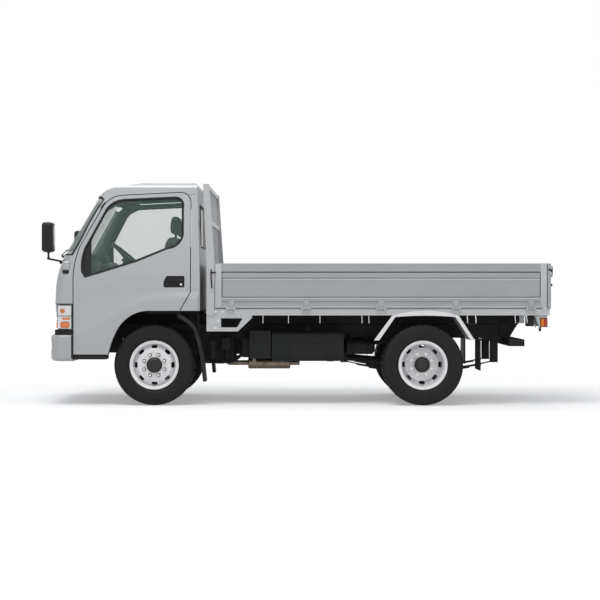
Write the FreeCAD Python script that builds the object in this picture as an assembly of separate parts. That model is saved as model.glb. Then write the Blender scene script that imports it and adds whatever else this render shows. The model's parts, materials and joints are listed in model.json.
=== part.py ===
import FreeCAD, Part
import os
from math import cos, pi, radians, sin, sqrt
from FreeCAD import Vector

os.makedirs("parts", exist_ok=True)

# Light drop-side dump truck, millimetres. Lengths along the truck are stations: distances behind the
# front axle, so the nose is negative. Y is across, the driver's side at minus Y, and Z is up from the road.
# When the pieces are written they move forward together, so that X = 0 is midway along the truck.

# The whole truck
front_overhang = 1010.0
rear_overhang = 1207.0
wheelbase = 2500.0
body_half = 845.0
overrun = 4.0
fit_gap = 0.05
panel_gap = 8.0
move_gap = 6.0

# Tyres, rims and tracks
tyre_radius = 375.0
tyre_width = 185.0
bead_radius = 207.0
rim_radius = 228.0
rim_wall = 7.0
rim_half = 81.0
disc_flat_radius = 125.0
front_disc_out = 62.0
rear_hub_out = 120.0
front_track_half = 697.0
rear_track_half = 620.0
dual_spacing = 215.0
hub_radius = 68.0
hub_reach = 30.0
hand_hole_circle = 171.0
hand_hole_radius = 15.0
hand_hole_half = 13.0
hand_hole_count = 8
spindle_radius = 28.0
drum_radius = 150.0
drum_gap = 11.0
backing_y = 656.0
rear_drum_y = 480.0

# Steering
kingpin_half = 620.0
kingpin_radius = 14.0
fork_gap = 1.0
fork_thick = 26.0
fork_radius = 34.0
arm_length = 130.0
tie_radius = 12.0
tie_pin_radius = 8.0
tie_drop = 26.0
tie_eye_radius = 20.0
web_thick = 6.0
boss_radius = 30.0

# Chassis frame
rail_half = 350.0
rail_flange = 60.0
rail_height = 130.0
rail_top = 744.0
rail_wall = 7.0
rail_front = -870.0
rail_behind = 866.0
cross_width = 90.0
spring_half = 320.0
spring_width = 60.0
spring_leaf = 9.0
spring_leaves = 5
front_spring_length = 1060.0
rear_spring_length = 1440.0
axle_beam_height = 66.0
axle_beam_width = 56.0
rear_tube_radius = 52.0
diff_radius = 150.0
spring_pad = 8.0
front_spring_rise = 75.0
rear_spring_rise = 84.0
hanger_plate = 8.0
hanger_half = 35.0
rear_cross_behind = 390.0
rear_cross_top = 655.0
gearbox_rear = 850.0
gearbox_half = 130.0
engine_front = -350.0
engine_rear = 450.0
engine_half = 230.0
engine_foot = 450.0
engine_top = 850.0
shaft_radius = 34.0
mount_front = -760.0
mount_rear = 280.0

# Cab outside, seen from the side
cab_rear = 428.0
cab_half = 847.0
cab_crown_radius = 6000.0
cab_crown = 60.0
roof_crown_radius = 18000.0
level_gap = 46.0
nose_corner = -909.0
nose_foot = -892.0
nose_z = 889.0
front_panel_foot = 704.0
belt_front = -898.0
belt_z = 1150.0
scuttle_mid = -864.0
scuttle_mid_z = 1285.0
screen_base = -801.0
screen_base_z = 1445.0
screen_top = -515.0
screen_top_z = 1954.0
brow_foot = -575.0
brow_foot_z = 1900.0
brow_mid = -468.0
brow_mid_z = 1991.0
brow = -421.0
brow_z = 2016.0
brow_rear_mid = -328.0
brow_rear_mid_z = 2040.0
brow_rear = -178.0
brow_rear_z = 2062.0
roof_mid = -20.0
roof_mid_z = 2082.0
roof_z = 2092.0
roof_start = 160.0
roof_rear = 400.0
roof_rear_radius = 60.0
roof_crown = 18.0
shoulder_radius = 60.0
roof_half = 742.0
cab_foot = 477.0
cab_corner_radius = 80.0
cab_wall = 40.0
waist_z = 1180.0
waist_blend = 90.0
glass_inset = 6.0
glass_thick = 6.0

# Wheel arch in the cab side
arch_top = 882.0
arch_rear = -32.0
arch_mid = -236.0
arch_mid_z = 820.0
arch_low = -338.0
arch_low_z = 704.0
arch_lip = -385.0
arch_lip_z = 600.0
arch_front = -421.0

# Flare over the wheel arch, its crease on the cab's side and the edge of its outer face
flare_out = 12.0
flare_front = -741.0
flare_front_z = 722.0
flare_low_mid = -588.0
flare_low_mid_z = 792.0
flare_low = -403.0
flare_low_z = 898.0
flare_high_mid = -218.0
flare_high_mid_z = 986.0
flare_high = -32.0
flare_high_z = 1030.0
flare_rear_mid = 200.0
flare_rear_mid_z = 1046.0
flare_rear_gap = 8.0
flare_rear_z = 1056.0
flare_slope = 62.0
flare_nose = 41.0
flare_turn_share = 0.4
flare_turn_out_share = 0.62

# Door
door_front = -741.0
door_rear = 338.0
door_post_z = 1195.0
door_bend = -722.0
door_bend_z = 1345.0
door_slope = -681.0
door_slope_z = 1482.0
door_peak = -468.0
door_peak_z = 1857.0
door_brow = -400.0
door_brow_z = 1922.0
door_top_front = -300.0
door_top_front_z = 1953.0
door_top_z = 1980.0
door_top_rear = 245.0
door_turn = 312.0
door_turn_z = 1952.0
door_back_z = 1880.0
door_kick_z = 1056.0
door_foot_rear = 241.0
handle_front = 93.0
handle_rear = 287.0
handle_foot = 1097.0
handle_top = 1204.0
handle_slant = 27.0
handle_depth = 18.0
handle_wall = 9.0
handle_grip = 42.0
hinge_set_back = 25.0
hinge_inset = 12.0
hinge_clear = 27.0
door_pin_radius = 4.0
door_lug_half = 6.5
door_lug_height = 10.0
door_pocket_gap = 2.5
door_pin_levels = (800.0, 1120.0)
door_pin_half = 24.0
hinge_post_front = -790.0
hinge_post_rear = -700.0
hinge_post_top = 1180.0
hinge_post_inner = 789.0
hinge_post_outer = 798.0

# Door window
pane_front = -662.0
pane_foot = -634.0
pane_foot_z = 1195.0
pane_front_z = 1245.0
pane_front_mid = -659.0
pane_front_mid_z = 1370.0
pane_slope_z = 1463.0
pane_peak = -440.0
pane_peak_z = 1828.0
pane_brow = -384.0
pane_brow_z = 1880.0
pane_top_front = -290.0
pane_top_front_z = 1913.0
pane_top_z = 1936.0
pane_top_rear = 190.0
pane_turn = 255.0
pane_turn_z = 1908.0
pane_rear = 268.0
pane_back_z = 1840.0
pane_low_rear_z = 1630.0
pane_low_turn = 238.0
pane_low_turn_z = 1518.0
pane_sill_rear = 130.0
pane_sill_rear_z = 1462.0
pane_sill_mid = -162.0
pane_sill_mid_z = 1343.0

# Windscreen and rear window
screen_foot_z = 1400.0
screen_head_z = 1938.0
screen_edge_foot = -748.0
screen_edge_low = -712.0
screen_edge_low_z = 1475.0
screen_edge_mid = -592.0
screen_edge_mid_z = 1713.0
screen_edge_high = -518.0
screen_edge_high_z = 1843.0
screen_edge_head = -470.0
screen_edge_head_z = 1918.0
screen_edge_top = -488.0
screen_round = 14.0
pane_corner = 60.0
rear_pane_half = 560.0
rear_pane_foot = 1480.0
rear_pane_head = 1880.0

# Cab floor and fittings
floor_half = 788.0
floor_z = 760.0
floor_thick = 30.0
riser = -455.0
seat_deck_z = 905.0
toe_board = -852.0
toe_top = 1010.0
dash_rear = -500.0
dash_top = 1345.0
dash_half = 748.0
wheel_centre = -272.0
wheel_centre_y = -380.0
wheel_centre_z = 1379.0
wheel_slope_deg = 40.0
wheel_ring_radius = 205.0
wheel_grip_radius = 14.0
column_radius = 24.0
seat_half_width = 240.0
seat_y = 380.0
seat_front = -330.0
seat_back_foot = 95.0
seat_top = 1085.0
seat_back_top = 1590.0
seat_back_thick = 120.0
headrest_top = 1800.0

# Lamps, grille, bumper and mirrors
lamp_foot = 704.0
lamp_top = 945.0
lamp_rear = -752.0
lamp_inner = 560.0
grille_half = 470.0
grille_foot = 735.0
grille_top = 925.0
grille_depth = 24.0
grille_bars = 4
apron_set_in = 30.0
apron_wall = 14.0
bumper_foot = 412.0
bumper_top = 657.0
bumper_rear = -752.0
bumper_half = 838.0
bumper_corner = 110.0
bumper_round = 38.0
bumper_wall = 12.0
mirror_front = -1004.0
mirror_rear = -900.0
mirror_inner = 872.0
mirror_outer = 1052.0
mirror_foot = 1421.0
mirror_top = 1694.0
mirror_round = 30.0
mirror_arm_radius = 9.0
mirror_base = -812.0
mirror_base_z = 1300.0

# Bed
bed_front = 491.0
sill_top = 898.0
sill_height = 60.0
sill_depth = 60.0
sill_set_in = 10.0
deck_top = 903.0
deck_thick = 25.0
bed_behind = 1172.0
bed_rail_front = 600.0
bed_rail_foot = 750.0
bed_cross_count = 5
corner_heel = 782.0
corner_tip = 912.0
corner_tip_z = 815.0
corner_hole_front = 625.0
corner_hole_heel = 775.0
corner_hole_tip = 824.0
corner_hole_foot = 727.0
corner_hole_top = 812.0
gate_foot = 907.0
gate_top = 1320.0
gate_thick = 30.0
gate_end = 68.0
gate_rail_step = 8.0
gate_low_rail = 92.0
gate_top_rail = 130.0
gate_lip = 84.0
gate_groove = 3.0
gate_front = 569.0
gate_behind = 1145.0
tail_behind = 1152.0
gate_axis_out = 16.0
gate_axis_z = 902.0
eye_radius = 9.0
hinge_pin_radius = 5.0
strap_width = 50.0
strap_top = 977.0
strap_thick = 6.0
ear_thick = 16.0
ear_gap = 1.0
saucer_foot = 858.0
saucer_thick = 6.0
hinge_first = 718.0
hinge_ahead = 393.0
hinge_behind = 301.5
hinge_last_behind = 996.0
tail_hinge_count = 4
tail_hinge_half = 640.0
post_depth = 72.0
post_depth_top = 56.0
post_width = 55.0
post_foot = 690.0
post_top = 2056.0
post_lean = 32.0
post_wall = 5.0
head_rail = 40.0
head_bars = 6
head_bar_radius = 12.0
head_skin = 16.0

# Tipping hinge and hoist
tip_behind = 920.0
tip_z = 790.0
tip_pin_radius = 20.0
tip_ear_radius = 42.0
tip_ear_thick = 20.0
barrel_ahead = 600.0
barrel_z = 560.0
lift_behind = 550.0
lift_z = 745.0
barrel_radius = 55.0
rod_radius = 32.0
barrel_length = 740.0
eye_ring_radius = 34.0
lift_pin_radius = 17.0
lift_play = 36.0
lift_ear_thick = 16.0
eye_half = 36.0

# Under the bed
tank_front_share = 0.391
tank_rear_share = 0.823
tank_foot = 406.0
tank_top = 689.0
tank_inner = 395.0
tank_outer = 700.0
tank_round = 55.0
strap_band = 62.0
strap_plate = 4.0
battery_front_share = 0.256
battery_rear_share = 0.384
battery_foot = 432.0
battery_top = 700.0
muffler_front_share = 0.238
muffler_rear_share = 0.5
muffler_y = -240.0
muffler_z = 372.0
muffler_radius = 58.0
pipe_radius = 24.0
underrun_ahead_face = 801.0
underrun_rear_face = 943.0
underrun_foot = 551.0
underrun_top = 614.0
underrun_half = 800.0
lamp_box_behind = 1092.0
lamp_box_length = 58.0
lamp_box_foot = 734.0
lamp_box_top = 806.0
guard_start = 225.0
guard_start_z = 858.0
guard_arc_s = 330.0
guard_arc_z = 795.0
guard_knee = 392.0
guard_knee_z = 725.0
guard_bend = 440.0
guard_bend_z = 560.0
guard_low = 470.0
guard_low_z = 380.0
guard_foot = 225.0
guard_foot_s = 486.0
guard_thick = 28.0
guard_inner = 640.0
guard_strut = 400.0
guard_strut_foot = 650.0
flap_behind = 530.0
flap_top = 602.0
flap_foot = 325.0
flap_outer = 820.0
flap_inner = 430.0
flap_thick = 8.0
flap_bar_radius = 11.0
underrun_web_behind = 588.0
step_front = -738.0
step_rear = -440.0
step_outer = 838.0
step_inner = 640.0
step_foot = 430.0
step_top = 470.0
step_wall = 8.0
fender_front_ahead = 458.0
fender_shoulder_front_ahead = 290.0
fender_mid_ahead = 3.0
fender_shoulder_rear_behind = 329.0
fender_rear_behind = 477.0
fender_foot = 607.0
fender_shoulder_z = 835.0
fender_crown = 882.0
fender_band = 46.0
fender_thick = 5.0
fender_inner = 440.0
tail_plate_behind = 1040.0
tail_plate_low_behind = 1080.0
tail_plate_foot = 716.0
tail_lamp_outer = 795.0
tail_lamp_inner = 560.0

# Worked out from the sizes above
fender_front = wheelbase - fender_front_ahead
fender_shoulder_front = wheelbase - fender_shoulder_front_ahead
fender_mid = wheelbase - fender_mid_ahead
fender_shoulder_rear = wheelbase + fender_shoulder_rear_behind
fender_rear = wheelbase + fender_rear_behind
between_wheels = fender_front - guard_foot_s
battery_front = guard_foot_s + battery_front_share * between_wheels
battery_rear = guard_foot_s + battery_rear_share * between_wheels
tank_front = guard_foot_s + tank_front_share * between_wheels
tank_rear = guard_foot_s + tank_rear_share * between_wheels
muffler_front = guard_foot_s + muffler_front_share * between_wheels
muffler_rear = guard_foot_s + muffler_rear_share * between_wheels
barrel_s = wheelbase - barrel_ahead
lift_s = wheelbase + lift_behind
rear_cross = wheelbase + rear_cross_behind
flap_s = wheelbase + flap_behind
rail_rear = wheelbase + rail_behind
bed_rear = wheelbase + bed_behind
gate_rear = wheelbase + gate_behind
tail_front = wheelbase + tail_behind
hinge_last = wheelbase + hinge_last_behind
tip_s = wheelbase + tip_behind
underrun_front = wheelbase + underrun_ahead_face
underrun_rear = wheelbase + underrun_rear_face
underrun_web_front = wheelbase + underrun_web_behind
lamp_box_front = wheelbase + lamp_box_behind
lamp_box_rear = lamp_box_front + lamp_box_length
tail_plate_front = wheelbase + tail_plate_behind
tail_plate_low = wheelbase + tail_plate_low_behind
front_axle_x = front_overhang - (front_overhang + wheelbase + rear_overhang) / 2
axle_z = tyre_radius
sill_foot = sill_top - sill_height
sill_half = body_half - sill_set_in
tail_rear = tail_front + gate_thick
rail_foot = rail_top - rail_height
door_axis_s = door_front + hinge_set_back
door_axis_y = cab_half - hinge_inset


def write(name, shape):
    """Moves a finished piece forward so that X = 0 is midway along the truck, and writes it."""
    placed = shape.copy()
    placed.translate(Vector(front_axle_x, 0, 0))
    placed.exportStep("parts/" + name + ".step")


def box(s0, s1, y0, y1, z0, z1):
    return Part.makeBox(s1 - s0, y1 - y0, z1 - z0, Vector(s0, y0, z0))


def rod(start, end, radius):
    """A round bar between two points."""
    a = Vector(*start)
    b = Vector(*end)
    return Part.makeCylinder(radius, (b - a).Length, a, b - a)


def mirrored(shape):
    return shape.mirror(Vector(0, 0, 0), Vector(0, 1, 0))


def both_sides(shape):
    return Part.makeCompound([shape, mirrored(shape)])


def joined(shapes):
    whole = shapes[0]
    for more in shapes[1:]:
        whole = whole.fuse(more)
    return whole.removeSplitter()


def wire(points, at):
    """A closed wire. A pair is a corner; a triple of pairs marks a round stretch by its middle and end."""
    edges = []
    last = at(points[0])
    for point in points[1:] + points[:1]:
        if isinstance(point[0], tuple):
            middle, end = at(point[0]), at(point[1])
            edges.append(Part.Arc(last, middle, end).toShape())
        else:
            end = at(point)
            if (end - last).Length > fit_gap / overrun:
                edges.append(Part.LineSegment(last, end).toShape())
        last = end
    return Part.Wire(edges)


def side_prism(points, y0, y1):
    """An outline seen from the side, (station, height), carried from y0 to y1."""
    face = Part.Face(wire(points, lambda p: Vector(p[0], y0, p[1])))
    return face.extrude(Vector(0, y1 - y0, 0))


def front_prism(points, s0, s1):
    """An outline seen from the front, (y, height), carried from s0 to s1."""
    face = Part.Face(wire(points, lambda p: Vector(s0, p[0], p[1])))
    return face.extrude(Vector(s1 - s0, 0, 0))


def plan_prism(points, z0, z1):
    """An outline seen from above, (station, y), carried from z0 to z1."""
    face = Part.Face(wire(points, lambda p: Vector(p[0], p[1], z0)))
    return face.extrude(Vector(0, 0, z1 - z0))


# Cab volumes

def cab_levels():
    """Heights and the station of the cab's front corner at each, from the foot to above the roof."""
    slope = (screen_top - screen_base) / (screen_top_z - screen_base_z)
    above = roof_z + cab_wall
    nose = [
        (front_panel_foot, nose_foot), (nose_z, nose_corner), (belt_z, belt_front),
        (scuttle_mid_z, scuttle_mid), (screen_base_z, screen_base),
    ]
    rows = [(cab_foot - overrun, nose_foot)] + nose[:1]
    for index in range(len(nose) - 1):
        rows += bent(nose, index, slope)
    return rows + [(screen_top_z, screen_top), (above, screen_top + slope * (above - screen_top_z))]


def bent(points, index, last_slope):
    """Levels from one point of the nose up to the next, on a smooth curve through all of them."""
    slopes = [0]
    for low, high in zip(points, points[2:]):
        slopes.append((high[1] - low[1]) / (high[0] - low[0]))
    slopes.append(last_slope)
    (z0, s0), (z1, s1) = points[index], points[index + 1]
    span = z1 - z0
    count = max(1, round(span / level_gap))
    rows = []
    for step in range(1, count + 1):
        t = step / count
        rise = t * t * (3 - 2 * t)
        bow = slopes[index] * t * (1 - t) ** 2 - slopes[index + 1] * t * t * (1 - t)
        rows.append((z0 + span * t, s0 + (s1 - s0) * rise + span * bow))
    return rows


def cab_half_at(z):
    """Half the cab's width at a height: full below the waist, leaning in above it."""
    lean = (cab_half - roof_half) / (roof_z - waist_z)
    over = z - waist_z + waist_blend
    if over <= 0:
        return cab_half
    if over < 2 * waist_blend:
        return cab_half - lean * over * over / (4 * waist_blend)
    return cab_half - lean * (z - waist_z)


def cab_section(z, front, inset, radius):
    """A level ring of the cab: flat back and sides, rounded corners, and a gently crowned front."""
    half = cab_half_at(z) - inset
    share = min(max((z - screen_base_z) / (screen_top_z - screen_base_z), 0), 1)
    big = 1 / ((1 - share) / cab_crown_radius + share / roof_crown_radius)
    centre_s = front - cab_crown * cab_crown_radius / big + inset + big
    back = cab_rear + cab_wall
    corner_y = half - radius
    corner_s = centre_s - sqrt((big - radius) ** 2 - corner_y ** 2)
    reach = big / (big - radius)
    touch_s, touch_y = centre_s + (corner_s - centre_s) * reach, corner_y * reach
    along = Vector(touch_s - corner_s, touch_y - corner_y, 0).normalize() + Vector(0, 1, 0)
    along.normalize()
    mid_s, mid_y = corner_s + along.x * radius, corner_y + along.y * radius
    ring = [
        (back, -half), (corner_s, -half), ((mid_s, -mid_y), (touch_s, -touch_y)),
        ((centre_s - big, 0), (touch_s, touch_y)), ((mid_s, mid_y), (corner_s, half)), (back, half),
    ]
    return wire(ring, lambda p: Vector(p[0], p[1], z))


def roof_and_back(inset):
    """The cab's roof line and rear seen from the side."""
    c = cab_crown
    bend = roof_rear_radius * (1 - sin(pi / 4))
    back, top = cab_rear - inset, roof_z - inset
    lean_top = roof_rear - inset
    return [
        (nose_corner - 2 * c, cab_foot - inset), (nose_corner - 2 * c, screen_base_z),
        (screen_base - 2 * c, screen_base_z), (brow_foot + inset / 2, brow_foot_z - inset),
        (screen_top + inset / 2, screen_top_z - inset),
        ((brow_mid + inset / 2, brow_mid_z - inset), (brow, brow_z - inset)),
        ((brow_rear_mid, brow_rear_mid_z - inset), (brow_rear, brow_rear_z - inset)),
        ((roof_mid, roof_mid_z - inset), (roof_start, top)), (lean_top - roof_rear_radius, top),
        ((lean_top - bend, top - bend), (lean_top, top - roof_rear_radius)),
        (back, waist_z), (back, cab_foot - inset),
    ]


def roof_arch(inset):
    """The cab seen from the front: open sides, rounded shoulders and a slightly crowned roof."""
    half = cab_half + cab_wall
    edge = roof_half - shoulder_radius
    top = roof_z - inset
    drop = shoulder_radius + roof_crown
    turn = shoulder_radius * (1 - sin(pi / 4))
    side = roof_half - inset
    return [
        (-half, cab_foot - cab_wall), (-half, top - drop - shoulder_radius), (-side, top - drop),
        ((-side + turn, top - roof_crown - turn), (-edge, top - roof_crown)),
        ((0, top), (edge, top - roof_crown)),
        ((side - turn, top - roof_crown - turn), (side, top - drop)),
        (half, top - drop - shoulder_radius), (half, cab_foot - cab_wall),
    ]


def cab_volume(inset=0.0):
    """The whole cab as one solid, each face set in by the inset."""
    radius = cab_corner_radius - inset
    levels = cab_levels()
    rings = []
    for index, (z, front) in enumerate(levels):
        low, high = levels[max(index - 1, 0)], levels[min(index + 1, len(levels) - 1)]
        lean = (high[1] - low[1]) / (high[0] - low[0])
        rings.append(cab_section(z, front, inset * sqrt(1 + lean * lean), radius))
    whole = Part.makeLoft(rings, True, True)
    outer = side_prism(roof_and_back(inset), -cab_half - 2 * cab_wall, cab_half + 2 * cab_wall)
    arch = front_prism(roof_arch(inset), nose_corner - 3 * cab_crown, cab_rear + cab_wall / 2)
    return whole.common(outer.common(arch))


# Cab pieces

def door_outline(gap=0.0):
    """The door seen from the side; a gap below zero makes it smaller all round."""
    points = [
        (door_front, cab_foot), (door_front, door_post_z),
        ((door_bend, door_bend_z), (door_slope, door_slope_z)), (door_peak, door_peak_z),
        ((door_brow, door_brow_z), (door_top_front, door_top_front_z)), (door_top_rear, door_top_z),
        ((door_turn, door_turn_z), (door_rear, door_back_z)), (door_rear, door_kick_z),
        (door_foot_rear, arch_top), (arch_rear, arch_top),
        ((arch_mid, arch_mid_z), (arch_low, arch_low_z)), ((arch_lip, arch_lip_z), (arch_front, cab_foot)),
    ]
    return grown(points, gap)


def pane_outline(gap=0.0):
    """The door window seen from the side."""
    points = [
        (pane_foot, pane_foot_z), (pane_front, pane_front_z),
        ((pane_front_mid, pane_front_mid_z), (pane_foot, pane_slope_z)), (pane_peak, pane_peak_z),
        ((pane_brow, pane_brow_z), (pane_top_front, pane_top_front_z)), (pane_top_rear, pane_top_z),
        ((pane_turn, pane_turn_z), (pane_rear, pane_back_z)), (pane_rear, pane_low_rear_z),
        ((pane_low_turn, pane_low_turn_z), (pane_sill_rear, pane_sill_rear_z)),
        (pane_sill_mid, pane_sill_mid_z),
    ]
    return grown(points, gap)


def grown(points, gap):
    """A side outline as a face, moved out by the gap."""
    face = Part.Face(wire(points, lambda p: Vector(p[0], 0, p[1])))
    if gap:
        face = face.makeOffset2D(gap, join=2)
    return face


def through_side(face, y0, y1):
    """A face in the middle plane carried sideways from y0 to y1."""
    moved = face.copy()
    moved.translate(Vector(0, y0, 0))
    return moved.extrude(Vector(0, y1 - y0, 0))


def windscreen_prism():
    """The windscreen's opening, which wraps round both corners back to a leaning edge."""
    ahead = nose_corner - 2 * cab_crown
    turn = screen_round * (1 - sin(pi / 4))
    points = [
        (ahead, screen_foot_z), (screen_edge_foot - screen_round, screen_foot_z),
        ((screen_edge_foot - turn, screen_foot_z + turn), (screen_edge_foot, screen_foot_z + screen_round)),
        (screen_edge_low, screen_edge_low_z), (screen_edge_mid, screen_edge_mid_z),
        (screen_edge_high, screen_edge_high_z), (screen_edge_head, screen_edge_head_z),
        (screen_edge_top, screen_head_z), (ahead, screen_head_z),
    ]
    return side_prism(points, -cab_half - cab_wall, cab_half + cab_wall)


def rear_pane_prism():
    """The rear window's opening, a rounded oblong seen from behind."""
    s0, s1 = roof_rear - 2 * cab_wall, cab_rear + overrun
    solid = box(s0, s1, -rear_pane_half, rear_pane_half, rear_pane_foot, rear_pane_head)
    return solid.makeFillet(pane_corner, [e for e in solid.Edges if abs(e.Length - (s1 - s0)) < overrun])


def arch_cut():
    """What the wheel arch and the foot take from the cab's sides, right across below the arch."""
    low = cab_foot - cab_wall
    points = [
        (arch_front, low), (arch_front, cab_foot), ((arch_lip, arch_lip_z), (arch_low, arch_low_z)),
        ((arch_mid, arch_mid_z), (arch_rear, arch_top)), (cab_rear + cab_wall, arch_top),
        (cab_rear + cab_wall, low),
    ]
    return side_prism(points, -cab_half - cab_wall, cab_half + cab_wall)


def cab_pieces():
    """The cab's shell, front panel, doors, glass, lamps and grille, all cut from one hollow body."""
    flares = [flare(), mirrored(flare())]
    outer = cab_volume().fuse(flares)
    inner = cab_volume(cab_wall)
    wall = outer.cut(inner).cut(arch_cut())
    pane_out = cab_volume(glass_inset)
    pane_in = cab_volume(glass_inset + glass_thick)
    glass = pane_out.cut(pane_in)

    door_hole = through_side(door_outline(panel_gap), -cab_half - cab_wall, -cab_half / 2)
    door_solid = through_side(door_outline(), -cab_half - cab_wall, -cab_half / 2)
    hinge_zone = box(door_front - cab_wall, door_axis_s, -cab_half - cab_wall, 0, 0, roof_z)
    hinge_round = Part.makeCylinder(hinge_clear, roof_z, Vector(door_axis_s, -door_axis_y, 0))
    pane_hole = through_side(pane_outline(), -cab_half - cab_wall, -cab_half / 2)

    door = wall.common(door_solid)
    door = door.cut(hinge_zone.cut(hinge_round)).cut(pane_hole).cut(hinge_pockets())
    door = door.cut(handle_pocket()).fuse(handle()).removeSplitter()
    door_glass = glass.common(pane_hole)

    shell = wall.cut(both_sides(door_hole))
    foot_cut = box(nose_corner - 2 * cab_crown, cab_rear, -cab_half - cab_wall, cab_half + cab_wall,
                   cab_foot - cab_wall, front_panel_foot)
    shell = shell.cut(foot_cut)
    shell = shell.cut(windscreen_prism()).cut(rear_pane_prism())

    front_zone = box(nose_corner - 2 * cab_crown, door_front - panel_gap, -cab_half, cab_half,
                     front_panel_foot, screen_foot_z)
    front = shell.common(front_zone)
    shell = shell.cut(front_zone)
    lamp_zone = both_sides(box(nose_corner - 2 * cab_crown, lamp_rear, -cab_half - overrun, -lamp_inner,
                               lamp_foot, lamp_top))
    lamps = front.common(lamp_zone)
    grille_zone = box(nose_corner - 2 * cab_crown, door_front, -grille_half, grille_half,
                      grille_foot, grille_top)
    post = hinge_post()
    front = front.cut(lamp_zone).cut(grille_zone).fuse(post).fuse(mirrored(post))

    windscreen = glass.common(windscreen_prism())
    rear_window = glass.common(rear_pane_prism())
    grille = grille_piece(outer, grille_zone)
    return {
        "cab_shell": shell, "cab_front_panel": front, "headlamps": lamps,
        "grille": Part.makeCompound([grille, apron()]),
        "windscreen": windscreen, "rear_window": rear_window,
        "door_left": door, "door_right": mirrored(door),
        "door_glass_left": door_glass, "door_glass_right": mirrored(door_glass),
        "mirrors": both_sides(mirrors().cut(outer)),
    }


def flare():
    """The left side's swelling over the wheel arch, from its crease out to a smaller outer face."""
    rear = cab_rear - flare_rear_gap
    drop = flare_slope
    crease = [
        (flare_front, flare_front_z), ((flare_low_mid, flare_low_mid_z), (flare_low, flare_low_z)),
        ((flare_high_mid, flare_high_mid_z), (flare_high, flare_high_z)),
        ((flare_rear_mid, flare_rear_mid_z), (rear, flare_rear_z)), (rear, cab_foot), (flare_front, cab_foot),
    ]
    edge = [
        (flare_front + flare_nose, flare_front_z - drop),
        ((flare_low_mid + drop / 2, flare_low_mid_z - drop), (flare_low + drop / 2, flare_low_z - drop)),
        ((flare_high_mid + drop / 3, flare_high_mid_z - drop), (flare_high, flare_high_z - drop)),
        ((flare_rear_mid, flare_rear_mid_z - drop), (rear - flare_out, flare_rear_z - drop)),
        (rear - flare_out, cab_foot), (flare_front + flare_nose, cab_foot),
    ]
    turn = [between(p, q, flare_turn_share) for p, q in zip(crease, edge)]
    out = cab_half + flare_out * flare_turn_out_share
    rings = [
        wire(crease, lambda p: Vector(p[0], -cab_half + overrun, p[1])),
        wire(crease, lambda p: Vector(p[0], -cab_half, p[1])),
        wire(turn, lambda p: Vector(p[0], -out, p[1])),
        wire(edge, lambda p: Vector(p[0], -cab_half - flare_out, p[1])),
    ]
    steps = [Part.makeLoft(rings[index:index + 2], True, True) for index in range(len(rings) - 1)]
    return joined(steps)


def between(first, last, share):
    """A point of an outline, or a round stretch's pair of points, a share of the way to another."""
    if isinstance(first[0], tuple):
        return tuple(between(p, q, share) for p, q in zip(first, last))
    return tuple(p + (q - p) * share for p, q in zip(first, last))


def handle_pocket():
    """The dish round the left door's handle."""
    points = [
        (handle_front, handle_foot + handle_wall), (handle_front, handle_top - 2 * handle_slant),
        (handle_front + handle_slant, handle_top), (handle_rear - handle_wall, handle_top),
        (handle_rear, handle_top - handle_wall), (handle_rear, handle_foot + handle_wall),
        (handle_rear - handle_wall, handle_foot), (handle_front + handle_wall, handle_foot),
    ]
    return side_prism(points, -cab_half - cab_wall, -cab_half + handle_depth)


def handle():
    """The left door's pull handle, standing off the floor of its dish on a foot at each end."""
    s0, s1 = handle_front + handle_slant, handle_rear - handle_wall
    foot, top = handle_top - handle_wall - handle_grip, handle_top - handle_wall
    grip = box(s0, s1, -cab_half + handle_depth / 6, -cab_half + handle_depth * 2 / 3, foot, top)
    floor_y = -cab_half + handle_depth
    feet = [box(s, s + handle_wall, floor_y - handle_depth / 2, floor_y + overrun, foot, top)
            for s in (s0, s1 - handle_wall)]
    return joined([grip] + feet)


def hinge_post():
    """The left hinge pillar inside the cab, with a lug and an upright pin for each door hinge."""
    post = box(hinge_post_front, hinge_post_rear, -hinge_post_outer, -hinge_post_inner, front_panel_foot,
               hinge_post_top)
    web = box(hinge_post_front, door_front - panel_gap - overrun, -cab_half + cab_wall, -hinge_post_inner,
              lamp_top, hinge_post_top)
    solids = [post, web]
    half = door_lug_height / 2
    reach = door_pin_half
    for level in door_pin_levels:
        solids.append(box(door_axis_s - door_lug_half, door_axis_s + door_lug_half, -door_axis_y,
                          -hinge_post_outer, level - half, level + half))
        solids.append(Part.makeCylinder(door_lug_half, door_lug_height,
                                        Vector(door_axis_s, -door_axis_y, level - half)))
        solids.append(Part.makeCylinder(door_pin_radius, 2 * reach,
                                        Vector(door_axis_s, -door_axis_y, level - reach)))
    return joined(solids)


def hinge_pockets():
    """What the lugs and pins need inside the left door."""
    gap = door_pocket_gap
    reach = door_pin_half + gap
    half = door_lug_height / 2 + 2 * gap
    cuts = []
    for level in door_pin_levels:
        cuts.append(box(door_front - overrun, door_axis_s + door_lug_half + 2 * gap,
                        -door_axis_y - door_lug_half - gap, -cab_half + cab_wall + overrun,
                        level - half, level + half))
        cuts.append(Part.makeCylinder(door_pin_radius + fit_gap, 2 * reach,
                                      Vector(door_axis_s, -door_axis_y, level - reach)))
    return Part.makeCompound(cuts)


def grille_piece(outer, zone):
    """A frame with level bars that fills the opening in the front panel."""
    skin = outer.cut(cab_volume(grille_depth)).common(zone)
    bar = (grille_top - grille_foot) / (2 * grille_bars + 1)
    for index in range(grille_bars):
        foot = grille_foot + bar * (2 * index + 1)
        skin = skin.cut(box(nose_corner - 2 * cab_crown, door_front, -grille_half + bar, grille_half - bar,
                            foot, foot + bar))
    return skin


def apron():
    """The set-in strip that closes the gap between the bumper and the front panel."""
    ring = cab_volume(apron_set_in).cut(cab_volume(apron_set_in + apron_wall))
    return ring.common(box(nose_corner - 2 * cab_crown, bumper_rear, -cab_half, cab_half,
                           bumper_top, front_panel_foot))


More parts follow.
